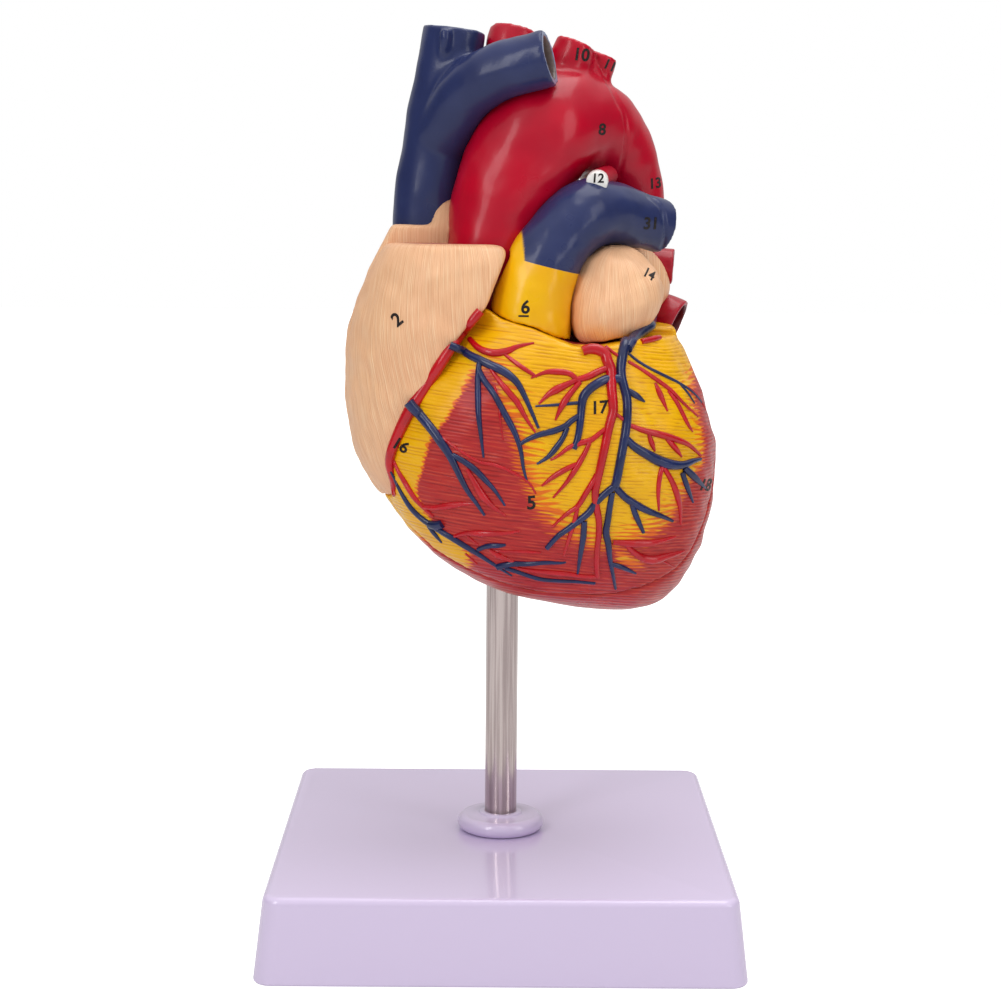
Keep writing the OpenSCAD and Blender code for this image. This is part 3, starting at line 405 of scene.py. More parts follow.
def put(tree, kind, sockets=None, **settings):
    node = tree.nodes.new(kind)
    for key, value in settings.items():
        setattr(node, key, value)
    for key, value in (sockets or {}).items():
        feed(tree, node.inputs[key], value)
    return node


def sums(tree, operation, *values):
    return put(tree, "ShaderNodeMath", dict(enumerate(values)), operation=operation).outputs[0]


def blend(tree, amount, a, b):
    return put(tree, "ShaderNodeMix", {0: amount, 6: a, 7: b}, data_type="RGBA").outputs[2]


def remap(tree, value, low, high, toLow=0.0, toHigh=1.0):
    sockets = {"Value": value, "From Min": low, "From Max": high, "To Min": toLow, "To Max": toHigh}
    return put(tree, "ShaderNodeMapRange", sockets, interpolation_type="SMOOTHSTEP").outputs["Result"]


def mark(tree, name):
    return put(tree, "ShaderNodeAttribute", attribute_name=name, attribute_type="GEOMETRY").outputs["Fac"]


def joinXyz(tree, x, y, z=0.0):
    return put(tree, "ShaderNodeCombineXYZ", {"X": x, "Y": y, "Z": z}).outputs[0]


def cloud(tree, vector, scale, detail=2.0, rough=0.5):
    sockets = {"Vector": vector, "Scale": scale, "Detail": detail, "Roughness": rough}
    return put(tree, "ShaderNodeTexNoise", sockets).outputs["Fac"]


def group(name, inputs, outputs):
    tree = bpy.data.node_groups.new(name, "ShaderNodeTree")
    for label, kind, value in inputs:
        socket = tree.interface.new_socket(label, in_out="INPUT", socket_type="NodeSocket" + kind)
        if value is not None:
            socket.default_value = value
    for label, kind in outputs:
        tree.interface.new_socket(label, in_out="OUTPUT", socket_type="NodeSocket" + kind)
    return tree, tree.nodes.new("NodeGroupInput").outputs, tree.nodes.new("NodeGroupOutput").inputs


def strokeGroup():
    # strokes side by side across X of the vector, running along its Y, both in metres
    tree, given, out = group(
        "engravedStrokes",
        [("Vector", "Vector", None), ("Spacing", "Float", 0.001), ("Length", "Float", 12.0),
         ("Wander", "Float", 0.4), ("Ridge", "Float", 0.24)],
        [("Height", "Float")],
    )
    parts = put(tree, "ShaderNodeSeparateXYZ", {0: given["Vector"]}).outputs
    across = sums(tree, "DIVIDE", parts["X"], given["Spacing"])
    run = sums(tree, "DIVIDE", sums(tree, "DIVIDE", parts["Y"], given["Spacing"]), given["Length"])
    bend = sums(tree, "SUBTRACT", cloud(tree, joinXyz(tree, across, run), 0.16, 1.0), 0.5)
    moved = sums(tree, "ADD", across,
                 sums(tree, "MULTIPLY", bend, sums(tree, "MULTIPLY", given["Wander"], 12.0)))
    ridge = sums(tree, "SINE", sums(tree, "MULTIPLY", moved, 2 * math.pi))
    uneven = cloud(tree, joinXyz(tree, moved, run), 1.0, 1.0, 0.6)
    feed(tree, out["Height"], sums(tree, "ADD", uneven, sums(tree, "MULTIPLY", ridge, given["Ridge"])))
    return tree


def edgeGroup():
    # turns a soft border, -1 outside to 1 inside, into a dry-brushed one that frays along the strokes
    tree, given, out = group(
        "dryBrushEdge",
        [("Border", "Float", 0.0), ("Shift", "Float", 0.0), ("Strokes", "Float", 0.5),
         ("Fray", "Float", 1.0)],
        [("Mask", "Float")],
    )
    fray = sums(tree, "MULTIPLY", sums(tree, "SUBTRACT", given["Strokes"], 0.5), given["Fray"])
    total = sums(tree, "ADD", sums(tree, "ADD", given["Border"], given["Shift"]), fray)
    feed(tree, out["Mask"], remap(tree, total, -0.3, 0.3))
    return tree


def coatGroup():
    # the unevenness of paint put on by hand: patches of tone, and a fine skin for the gloss to break on
    tree, given, out = group(
        "handPaint",
        [("Vector", "Vector", None), ("Patch", "Float", 0.012), ("Peel", "Float", 0.0016)],
        [("Tone", "Float"), ("Height", "Float"), ("Roughness", "Float")],
    )
    patch = cloud(tree, given["Vector"], sums(tree, "DIVIDE", 1.0, given["Patch"]), 3.0, 0.55)
    peel = cloud(tree, given["Vector"], sums(tree, "DIVIDE", 1.0, given["Peel"]), 2.0, 0.5)
    feed(tree, out["Tone"], remap(tree, patch, 0.15, 0.85))
    feed(tree, out["Height"], peel)
    feed(tree, out["Roughness"], remap(tree, patch, 0.15, 0.85, 0.24, 0.4))
    return tree


strokes, brushEdge, handPaint = strokeGroup(), edgeGroup(), coatGroup()


def use(tree, shared, sockets):
    node = tree.nodes.new("ShaderNodeGroup")
    node.node_tree = shared
    for key, value in sockets.items():
        feed(tree, node.inputs[key], value)
    return node.outputs


def newMaterial(name, **fixed):
    material = bpy.data.materials.new(name)
    material.use_nodes = True
    tree = material.node_tree
    shader = tree.nodes["Principled BSDF"]
    for key, value in fixed.items():
        feed(tree, shader.inputs[key.replace("_", " ")], value)
    return material, tree, shader, put(tree, "ShaderNodeTexCoord").outputs["Object"]


def emboss(tree, shader, height, distance, strength=1.0, under=None):
    sockets = {"Height": height, "Distance": distance, "Strength": strength}
    if under is not None:
        sockets["Normal"] = under
    bump = put(tree, "ShaderNodeBump", sockets).outputs["Normal"]
    feed(tree, shader.inputs["Normal"], bump)
    return bump


def paintedHeart(p):
    # yellow fat and red muscle, brushed into each other, with fine level strokes
    material, tree, shader, place = newMaterial(
        "heartPaint", Specular_IOR_Level=0.25, Coat_Weight=0.14, Coat_Roughness=0.2)
    parts = put(tree, "ShaderNodeSeparateXYZ", {0: place}).outputs
    around = sums(tree, "ADD", parts["X"], parts["Y"])
    level = sums(tree, "ADD", parts["Z"], sums(tree, "MULTIPLY", parts["X"], p["slope"]))
    lines = use(tree, strokes, {"Vector": joinXyz(tree, level, around), "Spacing": p["spacing"],
                                "Length": 6.0, "Wander": 0.22})["Height"]
    coarse = use(tree, strokes, {"Vector": joinXyz(tree, level, around), "Spacing": p["spacing"] * 1.7,
                                 "Length": 3.0, "Wander": 0.5})["Height"]
    hand = use(tree, handPaint, {"Vector": place, "Patch": 0.014, "Peel": 0.0015})
    border = mark(tree, "red")
    redMask = use(tree, brushEdge, {"Border": border, "Shift": -0.1, "Strokes": lines, "Fray": 1.3})["Mask"]
    glow = use(tree, brushEdge, {"Border": border, "Shift": 0.45, "Strokes": coarse, "Fray": 2.0})["Mask"]
    yellow = blend(tree, hand["Tone"], p["yellow"], p["yellowDeep"])
    yellow = blend(tree, remap(tree, lines, 0.36, 0.2), yellow, p["yellowLine"])
    red = blend(tree, hand["Tone"], p["red"], p["redDeep"])
    red = blend(tree, remap(tree, lines, 0.62, 0.82), red, p["redLine"])
    red = blend(tree, remap(tree, lines, 0.36, 0.2), red, p["redDark"])
    skin = blend(tree, sums(tree, "MULTIPLY", glow, 0.85), yellow, p["orange"])
    skin = blend(tree, redMask, skin, red)
    inside = blend(tree, hand["Tone"], p["chamber"], p["chamberDeep"])
    feed(tree, shader.inputs["Base Color"], blend(tree, mark(tree, "skin"), inside, skin))
    feed(tree, shader.inputs["Roughness"], hand["Roughness"])
    first = emboss(tree, shader, lines, 0.00022, 0.8)
    emboss(tree, shader, hand["Height"], 0.00008, 0.4, first)
    return material


def paintedPeach(p):
    material, tree, shader, place = newMaterial(
        "peachPaint", Specular_IOR_Level=0.35, Coat_Weight=0.12, Coat_Roughness=0.25)
    vector = joinXyz(tree, mark(tree, "grainAcross"), mark(tree, "grainAlong"))
    lines = use(tree, strokes, {"Vector": vector, "Spacing": p["spacing"],
                                "Length": 16.0, "Wander": 0.3})["Height"]
    hand = use(tree, handPaint, {"Vector": place, "Patch": 0.018, "Peel": 0.0018})
    colour = blend(tree, hand["Tone"], p["peach"], p["peachDeep"])
    colour = blend(tree, remap(tree, lines, 0.36, 0.18), colour, p["line"])
    colour = blend(tree, remap(tree, lines, 0.66, 0.88), colour, p["light"])
    # a painted highlight: paler paint where the skin bends over an edge
    colour = blend(tree, mark(tree, "edge"), colour, p["light"])
    inside = blend(tree, hand["Tone"], p["chamber"], p["chamberDeep"])
    feed(tree, shader.inputs["Base Color"], blend(tree, mark(tree, "skin"), inside, colour))
    feed(tree, shader.inputs["Roughness"], remap(tree, hand["Tone"], 0.0, 1.0, 0.4, 0.5))
    first = emboss(tree, shader, lines, 0.00016, 0.7)
    emboss(tree, shader, hand["Height"], 0.00006, 0.4, first)
    return material


def paintedVessel(name, p):
    # wall: 0 on the outside of a pipe, 1 on its inside, and between the two across a cut end
    material, tree, shader, place = newMaterial(
        name, Specular_IOR_Level=0.22, Coat_Weight=p["coat"], Coat_Roughness=p["coatRough"])
    hand = use(tree, handPaint, {"Vector": place, "Patch": p["patch"], "Peel": 0.002})
    colour = blend(tree, hand["Tone"], p["colour"], p["deep"])
    if "bore" in p:
        colour = blend(tree, mark(tree, "fat"), colour, heartFat)
        wall = mark(tree, "wall")
        colour = blend(tree, remap(tree, wall, 0.2, 0.36), colour, p["rim"])
        colour = blend(tree, remap(tree, wall, 0.72, 0.86), colour, p["bore"])
    feed(tree, shader.inputs["Base Color"], colour)
    feed(tree, shader.inputs["Roughness"], hand["Roughness"])
    lump = cloud(tree, place, 1 / p["lump"], 1.0, 0.4)
    first = emboss(tree, shader, lump, p["lumpHeight"], 0.6)
    emboss(tree, shader, hand["Height"], 0.00005, 0.5, first)
    return material


def plainGloss(name, p):
    material, tree, shader, place = newMaterial(
        name, Specular_IOR_Level=0.5, Coat_Weight=p["coat"], Coat_Roughness=0.05)
    hand = use(tree, handPaint, {"Vector": place, "Patch": p["patch"], "Peel": p["peel"]})
    feed(tree, shader.inputs["Base Color"], blend(tree, hand["Tone"], p["colour"], p["deep"]))
    feed(tree, shader.inputs["Roughness"], remap(tree, hand["Tone"], 0.0, 1.0, p["rough"], p["rough"] + 0.08))
    emboss(tree, shader, hand["Height"], p["height"], 0.5)
    return material


def drawnSteel(name, p):
    # steel drawn through a die: fine lines that run along Z
    material, tree, shader, place = newMaterial(name, Metallic=1.0)
    parts = put(tree, "ShaderNodeSeparateXYZ", {0: place}).outputs
    flat = joinXyz(tree, parts["X"], parts["Y"], sums(tree, "MULTIPLY", parts["Z"], 0.02))
    lines = cloud(tree, flat, 1 / p["lines"], 3.0, 0.6)
    feed(tree, shader.inputs["Base Color"],
         blend(tree, remap(tree, lines, 0.35, 0.65), p["colour"], p["deep"]))
    feed(tree, shader.inputs["Roughness"], remap(tree, lines, 0.3, 0.7, p["rough"], p["rough"] + 0.08))
    emboss(tree, shader, lines, 0.00002, 0.5)
    return material


def printedInk():
    material, tree, shader, place = newMaterial("numberInk", Specular_IOR_Level=0.3)
    worn = cloud(tree, place, 1400.0, 2.0)
    feed(tree, shader.inputs["Base Color"],
         blend(tree, remap(tree, worn, 0.5, 0.75), shade(22, 16, 18), shade(60, 46, 40)))
    feed(tree, shader.inputs["Roughness"], remap(tree, worn, 0.3, 0.7, 0.4, 0.6))
    return material


heartFat = shade(241, 184, 0)
heartPaint = paintedHeart({
    "yellow": heartFat, "yellowDeep": shade(233, 166, 2), "yellowLine": shade(214, 146, 2),
    "orange": shade(226, 92, 14), "red": shade(184, 44, 36), "redDeep": shade(170, 32, 38),
    "redLine": shade(196, 66, 48), "redDark": shade(150, 26, 28),
    "chamber": shade(190, 70, 62), "chamberDeep": shade(150, 42, 42),
    "spacing": 0.0011, "slope": 0.1,
})
peachPaint = paintedPeach({
    "peach": shade(240, 190, 146), "peachDeep": shade(233, 178, 136), "line": shade(224, 166, 124),
    "light": shade(247, 208, 166), "chamber": shade(204, 128, 108), "chamberDeep": shade(176, 92, 80),
    "spacing": 0.0008,
})
arteryPaint = paintedVessel("aortaPaint", {
    "colour": shade(192, 0, 38), "deep": shade(172, 0, 36),
    "rim": shade(200, 50, 70), "bore": shade(96, 12, 26),
    "coat": 0.26, "coatRough": 0.16, "patch": 0.02, "lump": 0.011, "lumpHeight": 0.00045,
})
veinPaint = paintedVessel("veinPaint", {
    "colour": shade(44, 53, 96), "deep": shade(34, 42, 84),
    "rim": shade(128, 138, 166), "bore": shade(104, 88, 84),
    "coat": 0.26, "coatRough": 0.16, "patch": 0.016, "lump": 0.008, "lumpHeight": 0.0003,
})
ligamentPaint = paintedVessel("ligamentPaint", {
    "colour": shade(176, 0, 34), "deep": shade(160, 0, 32),
    "rim": shade(240, 238, 234), "bore": shade(240, 238, 234),
    "patch": 0.01, "coat": 0.26, "coatRough": 0.16, "lump": 0.01, "lumpHeight": 0.0001,
})
lungVeinPaint = paintedVessel("lungVeinPaint", {
    "colour": shade(186, 16, 42), "deep": shade(158, 10, 36),
    "rim": shade(170, 40, 58), "bore": shade(92, 14, 26),
    "coat": 0.26, "coatRough": 0.16, "patch": 0.012, "lump": 0.005, "lumpHeight": 0.0003,
})
trunkPaint = paintedVessel("trunkPaint", {
    "colour": shade(240, 184, 2), "deep": shade(232, 166, 2),
    "rim": shade(226, 150, 60), "bore": shade(120, 70, 50),
    "coat": 0.26, "coatRough": 0.16, "patch": 0.012, "lump": 0.006, "lumpHeight": 0.0002,
})
coronaryRed = paintedVessel("coronaryRed", {
    "colour": shade(198, 4, 26), "deep": shade(172, 2, 20),
    "coat": 0.6, "coatRough": 0.1, "patch": 0.005, "lump": 0.0022, "lumpHeight": 0.0003,
})
coronaryBlue = paintedVessel("coronaryBlue", {
    "colour": shade(26, 40, 92), "deep": shade(16, 26, 66),
    "coat": 0.6, "coatRough": 0.1, "patch": 0.005, "lump": 0.0022, "lumpHeight": 0.0003,
})
creamPaint = plainGloss("creamPaint", {
    "colour": shade(236, 226, 206), "deep": shade(220, 206, 180), "rough": 0.4, "coat": 0.15, "patch": 0.008,
    "peel": 0.0012, "height": 0.00006,
})
basePlastic = plainGloss("basePlastic", {
    "colour": shade(212, 197, 226), "deep": shade(210, 195, 225), "rough": 0.2, "coat": 0.5, "patch": 0.3,
    "peel": 0.02, "height": 0.00001,
})
bushPlastic = plainGloss("bushPlastic", {
    "colour": shade(226, 222, 212), "deep": shade(214, 208, 196), "rough": 0.45, "coat": 0.0, "patch": 0.01,
    "peel": 0.0008, "height": 0.00003,
})
magnetPlate = plainGloss("magnetPlate", {
    "colour": shade(170, 171, 174), "deep": shade(150, 151, 155), "rough": 0.2, "coat": 0.0, "patch": 0.004,
    "peel": 0.0005, "height": 0.00001,
})
magnetPlate.node_tree.nodes["Principled BSDF"].inputs["Metallic"].default_value = 1.0
rodSteel = drawnSteel("rodSteel", {
    "colour": shade(206, 192, 189), "deep": shade(172, 157, 155), "lines": 0.0009, "rough": 0.12,
})
screwSteel = drawnSteel("screwSteel", {
    "colour": shade(196, 197, 200), "deep": shade(170, 171, 175), "lines": 0.0009, "rough": 0.26,
})
numberInk = printedInk()
print("finishes mixed")


base = {
    "half": 71, "height": 25, "draft": 2.5, "corner": 5.5, "edge": 2.2, "wall": 3,
    "boss": 12, "bossLow": 6.4, "rib": 2, "ribLow": 12.5, "bore": 5.05, "boreLow": 10.4, "screwHole": 3.2,
}
collar = {"radius": 13.5, "height": 5, "lip": 1.6, "lipHeight": 0.8}
standRod = {"radius": 5, "bore": 3.8, "low": 10.4, "high": 124, "chamfer": 0.35}


def squareRing(half, corner, z, seg=16):
    ring = []
    for q in range(4):
        middle = (half - corner) * (1 if q in (0, 3) else -1), (half - corner) * (1 if q in (0, 1) else -1)
        for t in np.linspace(0, math.pi / 2, seg):
            a = q * math.pi / 2 + t
            ring.append((middle[0] + corner * math.cos(a), middle[1] + corner * math.sin(a), z))
    return np.array(ring)


def baseForm(name, half, height, corner, edge, draft):
    rings = [squareRing(half - 0.4, corner - 0.4, 0), squareRing(half, corner, 0.5),
             squareRing(half, corner, 1)]
    top = half - draft - edge
    for t in np.linspace(0, math.pi / 2, 9):
        rings.append(squareRing(top + edge * math.cos(t), corner - edge + edge * math.cos(t),
                                height - edge + edge * math.sin(t)))
    return ringSkin(name, rings)


def makeBase(p):
    body = baseForm("standBase", p["half"], p["height"], p["corner"], p["edge"], p["draft"])
    room = baseForm("room", p["half"] - p["wall"], p["height"] - p["wall"], p["corner"] - 1.5, 1, p["draft"])
    room.data.transform(Matrix.Translation((0, 0, -0.6)))
    cut(room, rod("boss", p["boss"], p["bossLow"], 40))
    for across in (0, 1):
        low, high = [-90, -p["rib"] / 2], [90, p["rib"] / 2]
        if across:
            low, high = low[::-1], high[::-1]
        cut(room, block("rib", (*low, p["ribLow"]), (*high, 40)))
    cut(body, room, rod("rodBore", p["bore"], p["boreLow"], 40), rod("screwHole", p["screwHole"], -1, 40))
    finish(body, "standBase", "base", basePlastic, ["base_shell"], sharp=32)


def makeCollar(p, low):
    r, half = p["radius"], p["height"] / 2
    inner = standRod["radius"] + 0.05
    rim = [(r - half + half * math.cos(a), low + half + half * math.sin(a))
           for a in np.linspace(-math.pi / 2, math.pi / 2, 17)]
    lip = inner + p["lip"] - 0.05
    step, top = low + p["height"], low + p["height"] + p["lipHeight"]
    profile = [(inner, low)] + rim + [(lip + 0.5, step), (lip + 0.15, step + 0.2), (lip, top - 0.2),
                                      (lip - 0.25, top), (inner, top)]
    finish(turned("rodCollar", profile), "rodCollar", "base", basePlastic, ["rod_collar"],
           sharp=50)


def makeRod(p):
    c = p["chamfer"]
    profile = [(p["bore"], p["low"]), (p["radius"] - c, p["low"]), (p["radius"], p["low"] + c),
               (p["radius"], 40), (p["radius"], 80), (p["radius"], p["high"] - c),
               (p["radius"] - c, p["high"]), (p["bore"], p["high"])]
    finish(turned("standRod", profile), "standRod", "rod", rodSteel, ["rod_tube"], sharp=30)


makeBase(base)
makeCollar(collar, base["height"])
makeRod(standRod)
print("stand made")


fullness = 2.3  # how square the level outlines are; 2 is an ellipse

# level outlines: h, left x, right x, front y, back y
ventricleLines = [
    (0, 28, 41, -8, 4), (2.5, 13, 48.5, -16, 12), (7, -4, 53.5, -23.5, 19.5), (14, -17, 58, -30, 26),
    (24, -28, 62, -35.5, 31), (37, -37, 64.2, -39, 35), (51, -40, 64.2, -40.5, 37),
    (65, -38, 61, -39.5, 37.5), (75, -33, 57.2, -37, 36.5), (83, -25, 53, -33.5, 34),
    (88, -18, 48, -30, 30), (93, -13, 12, -27, 12),
]
atriumLines = [
    (28, -31, -16, -6, 10), (31, -33.5, -8, -14, 19), (37, -39.3, 0, -22, 26), (47, -45, 8, -28, 30),
    (59, -47.9, 12, -30, 33), (71, -48.6, 14, -31, 35), (83, -48, 14, -31.5, 35), (95, -44.6, 13, -31, 33),
    (105, -40.2, 12, -29.5, 30), (112, -36.7, 10, -26.5, 26), (117, -34, 2, -20, 20),
]
auricleLines = [
    (81, 22, 35, -21, -1), (86, 19.5, 41.5, -25, 4), (91, 18.3, 45, -26, 5.5), (96.5, 18.5, 46.6, -25, 6),
    (102.3, 20.5, 46, -22, 5), (106.5, 22.7, 43.7, -18.5, 3.5), (109.7, 25.7, 39.5, -14, 0.5),
    (111.4, 29, 35, -10, -3),
]
# the coronary groove, down the front view: x, h
grooveLine = [
    (9, 120), (0.8, 110), (-5.5, 93.5), (-10, 89.5), (-16, 81.7), (-21.2, 73.2), (-27, 65.3),
    (-30.2, 59), (-33, 52), (-33.9, 47), (-32.5, 42), (-32.3, 38.5), (-34, 36), (-70, 30),
]
# where the cover parts from the heart, and the level of the seat under the vessels
seam = {"y": -6, "lowY": -24, "lowH": 8, "bendH": 48, "gap": 0.3,
        "topH": 112, "corner": 4, "seatH": 87, "aortaFootH": 85}
coverEdge = [(-1, 90.5), (8, 88), (14, 85.5), (20, 83.2), (28, 83), (40, 85)]

# middle lines of the great vessels: x, y, h, radius
vesselWall = 2.4
aortaLine = [
    (-3, -3, 80, 12.5), (-4, -3.5, 100, 13.8), (-2.8, -2.5, 117, 14.8), (3, 0, 133, 17), (11, 4, 144.5, 18),
    (20, 10, 147.5, 16.5), (29, 16, 144, 14), (35.6, 21, 134.5, 12.4), (39, 24, 123, 10.8), (40, 26, 113, 10),
]
aortaSide = (0.5, -0.8, 0)
branchLines = [
    [(1.5, 5, 158, 8), (1.2, 8, 168, 7.5), (2.4, 10, 174.8, 7.2)],
    [(17, 8, 158, 7.2), (19, 8, 166, 6.5), (21.2, 8.5, 171.5, 6.3)],
    [(25.5, 13, 158, 5.6), (28, 14, 163, 5), (29.8, 14.5, 168.2, 4.8)],
]
cavaLine = [(-24.5, 6, 110, 10.5), (-24, 6, 124, 10), (-21.5, 6, 142, 10), (-18, 6, 160, 10),
            (-15.7, 6, 175.3, 9.5)]
crossVeinLine = [(-20, 4, 143, 9.3), (-12, -4, 155.5, 8.8), (-2, -9, 162, 8.5), (12.6, -12.5, 166, 8.5)]
trunkLine = [
    (8, -16, 78, 12), (7.7, -16.5, 93, 11.8), (10.8, -15.5, 105, 11), (17, -13, 114.5, 10.2),
    (24.5, -9, 120.5, 10.5), (33, -3, 120.5, 9.3), (40.5, 2, 118.6, 8.4), (47.7, 6.5, 117, 8.2),
]
rightArteryLine = [(30, 0, 119, 7.5), (18, 14, 117.5, 8), (2, 21, 115, 8), (-18, 25, 114.5, 8),
                   (-34.5, 26, 115, 7.8)]
hornLine = [(-17, 0, 100, 11), (-18, 0.5, 112, 8), (-18.5, 1.5, 120, 5.5), (-18.5, 3, 127, 2.5)]
ligamentLine = [(26.8, -14.2, 129.8, 3.2), (27.5, -9, 130.6, 3.2), (31, 2, 132, 3)]
lowerCavaLine = [(-22, 20, 66, 10), (-22, 21, 46, 10), (-21.5, 21.5, 30, 9.5)]
leftVeinLines = [
    [(38, 22, 104, 5.5), (46, 22.5, 104.5, 5.6), (53, 22, 104, 5.6)],
    [(36, 24, 94, 6.5), (46, 24.5, 90, 7), (54.5, 22, 86, 8)],
]
rightVeinLines = [
    [(-2, 29, 102, 6), (-18, 35, 103, 6.2), (-37, 38.5, 104, 6.6)],
    [(-2, 30, 91, 6), (-16, 37.5, 89, 6.2), (-34, 40, 86, 6.6)],
]
leftAtrium = {
    "at": (19, 21, 98), "size": (33, 20, 19), "wall": 3.5,
    "cell": 0.8, "passes": 4, "relief": [(0.3, 15, 21)], "skin": (0.86, 0.93),
}
leftAuricle = {
    "cell": 0.62, "passes": 7, "relief": [(0.5, 17, 31), (0.18, 7, 32)],
    "middle": (33, -10), "round": 22, "lean": 0.1, "leanFrom": 190,
}
chambers = {
    "rightVentricle": [(-17, -9, 53, 15), (9, -17, 30, 10), (3, -12, 68, 10), (7, -17, 84, 7.5)],
    "leftVentricle": [(34, 2, 68, 11), (44, -1, 50, 10.5), (46, -12, 27, 6)],
    "rightAtrium": [(-27, -2, 89, 13), (-32.5, -1, 72, 12), (-37, -1, 56, 7)],
    "tricuspid": (-25, -3, 68), "tricuspidR": 11, "mitral": (34, 2, 80), "mitralR": 9.5, "tilt": 56.5,
}
magnetSpots = {"ventricle": [(59.5, 52), (23, 62)], "atrium": [(-22, 106.8)]}
pinSpots = [(20, 77), (54.5, 66)]
fittings = {"magnetR": 2.5, "magnetDeep": 2, "pinR": 2.15, "pinDeep": 5.5,
            "socketR": 7.05, "socketLow": 80, "socketHigh": 126}
far = 300  # well outside the model


def tall(line):
    return [(x, heartLow + h) for x, h in line]


def grooveSide(right):
    line = tall(grooveLine)
    if right:
        outline = [(far, 400), (line[0][0], 400)] + line + [(line[-1][0], -50), (far, -50)]
    else:
        outline = [(-far, 400), (line[0][0], 400)] + line + [(-far, line[-1][1])]
    return prism("grooveSide", outline, -far, far, "y")


def frontSide(gap=0.0):
    low, y = seam["lowY"] - gap, seam["y"] - gap
    outline = [(-far, -50), (low, -50), (low, heartLow + seam["lowH"]), (y, heartLow + seam["bendH"]),
               (y, far), (-far, far)]
    return prism("frontSide", outline, -far, far, "x")


def coverRegion(gap=0.0):
    top, r = heartLow + seam["topH"] - gap, seam["corner"]
    upper, lower = tall(grooveLine)[1:3]
    lean = (upper[0] - lower[0]) / (upper[1] - lower[1])
    corner = [(lower[0] + (top - lower[1]) * lean - gap - r + r * math.sin(t), top - r + r * math.cos(t))
              for t in np.linspace(0, math.pi / 2, 9)]
    edge = [(x, z - gap) for x, z in tall(coverEdge)]
    outline = ([(-far, 0), (-far, top)] + corner + [(lower[0] - gap, lower[1] - gap)] + edge
               + [(far, edge[-1][1]), (far, 0)])
    return prism("coverRegion", outline, -far, far, "y")


def frontPart(gap=0.0):
    return within(frontSide(gap), coverRegion(gap))


def aboveH(h):
    return block("above", (-far, -far, heartLow + h), (far, far, 500))


def belowH(h):
    return block("below", (-far, -far, 0), (far, far, heartLow + h))


def aortaRoom(gap):
    r = 14 + gap
    x, y = aortaLine[1][:2]
    z = heartLow + seam["aortaFootH"] - gap
    return fuse(rod("aortaRoom", r, z, 450, (x, y)), block("behind", (x - r, y, z), (x + r, far, 450)))


def ballSkin(name, balls, rough=0.5, seed=3):
    # a smooth skin round a few balls, its wall ridged like the inside of a chamber
    bm = bmesh.new()
    for x, y, h, r in balls:
        bmesh.ops.create_uvsphere(bm, u_segments=24, v_segments=12, radius=r,
                                  matrix=Matrix.Translation((x, y, heartLow + h)))
    hull = bmesh.ops.convex_hull(bm, input=bm.verts)
    bmesh.ops.delete(bm, geom=list({v for v in hull["geom_interior"] + hull["geom_unused"]
                                    if isinstance(v, bmesh.types.BMVert)}), context="VERTS")
    mesh = bpy.data.meshes.new(name)
    bm.to_mesh(mesh)
    bm.free()
    obj = bpy.data.objects.new(name, mesh)
    bpy.context.scene.collection.objects.link(obj)
    outwards(obj)
    if rough:
        soften(obj, 1.1, 2)
        co = points(obj)
        stretched = co * (1, 1, 0.45)
        ridges = 1 - 2 * np.abs(softNoise(stretched, 7, seed))
        setPoints(obj, co - normals(obj) * np.clip(rough * (0.6 + ridges), 0, 2 * rough)[:, None])
    return obj


def chamberCutters():
    names = ("rightVentricle", "rightAtrium", "leftVentricle")
    cutters = [ballSkin(name, chambers[name], seed=i) for i, name in enumerate(names)]
    way = rod("tricuspidWay", chambers["tricuspidR"], -14.5, 11)
    x, y, h = chambers["tricuspid"]
    lean = Matrix.Rotation(-math.radians(chambers["tilt"]), 4, "Y")
    way.data.transform(Matrix.Translation((x, y, heartLow + h)) @ lean)
    x, y, h = chambers["mitral"]
    return cutters + [way, rod("mitralWay", chambers["mitralR"], heartLow + h - 6, heartLow + h + 54, (x, y))]


def ventricleForm():
    return within(outlineLoft("ventricles", ventricleLines), grooveSide(True))


def atriumForm():
    return within(outlineLoft("atrium", atriumLines), grooveSide(False))


def blobAtrium(grow=0.0):
    return roundBlob("leftAtrium", leftAtrium["at"], leftAtrium["size"], grow)


def aortaForm(grow=0.0):
    return within(pipe("aorta", aortaLine, grow, side=aortaSide), aboveH(seam["aortaFootH"]))


def pipes(lines, grow=0.0, longer=0.0, side=(0, 1, 0)):
    return [pipe("pipe", line, grow, longer, side) for line in lines]


def skinDepth(co, lines, steps=9):
    # how deep a point lies under the skin of a loft, near enough, in millimetres
    rows = smoothRows(lines, steps)
    left, right, front, back = [np.interp(co[:, 2] - heartLow, rows[:, 0], rows[:, k]) for k in (1, 2, 3, 4)]
    a, b = np.maximum((right - left) / 2, 1), np.maximum((back - front) / 2, 1)
    u, v = np.abs(co[:, 0] - (left + right) / 2) / a, np.abs(co[:, 1] - (front + back) / 2) / b
    near = (u ** fullness + v ** fullness) ** (1 / fullness)
    ends = np.minimum(co[:, 2] - heartLow - rows[0, 0], rows[-1, 0] - co[:, 2] + heartLow)
    return np.minimum((1 - near) * np.minimum(a, b), np.maximum(ends, 0))


def wallDepth(co, lines):
    # 0 on the outside of the pipes, 1 on their inside
    best, share = np.full(len(co), 1e9), np.zeros(len(co))
    for line, wall in lines:
        for row in smoothRows(line, 12):
            away = np.linalg.norm(co - (row[0], row[1], row[2] + heartLow), axis=1)
            score = away / row[3]
            near = score < best
            share[near] = (row[3] - away[near]) / wall
            best[near] = score[near]
    return np.clip(share, 0, 1)


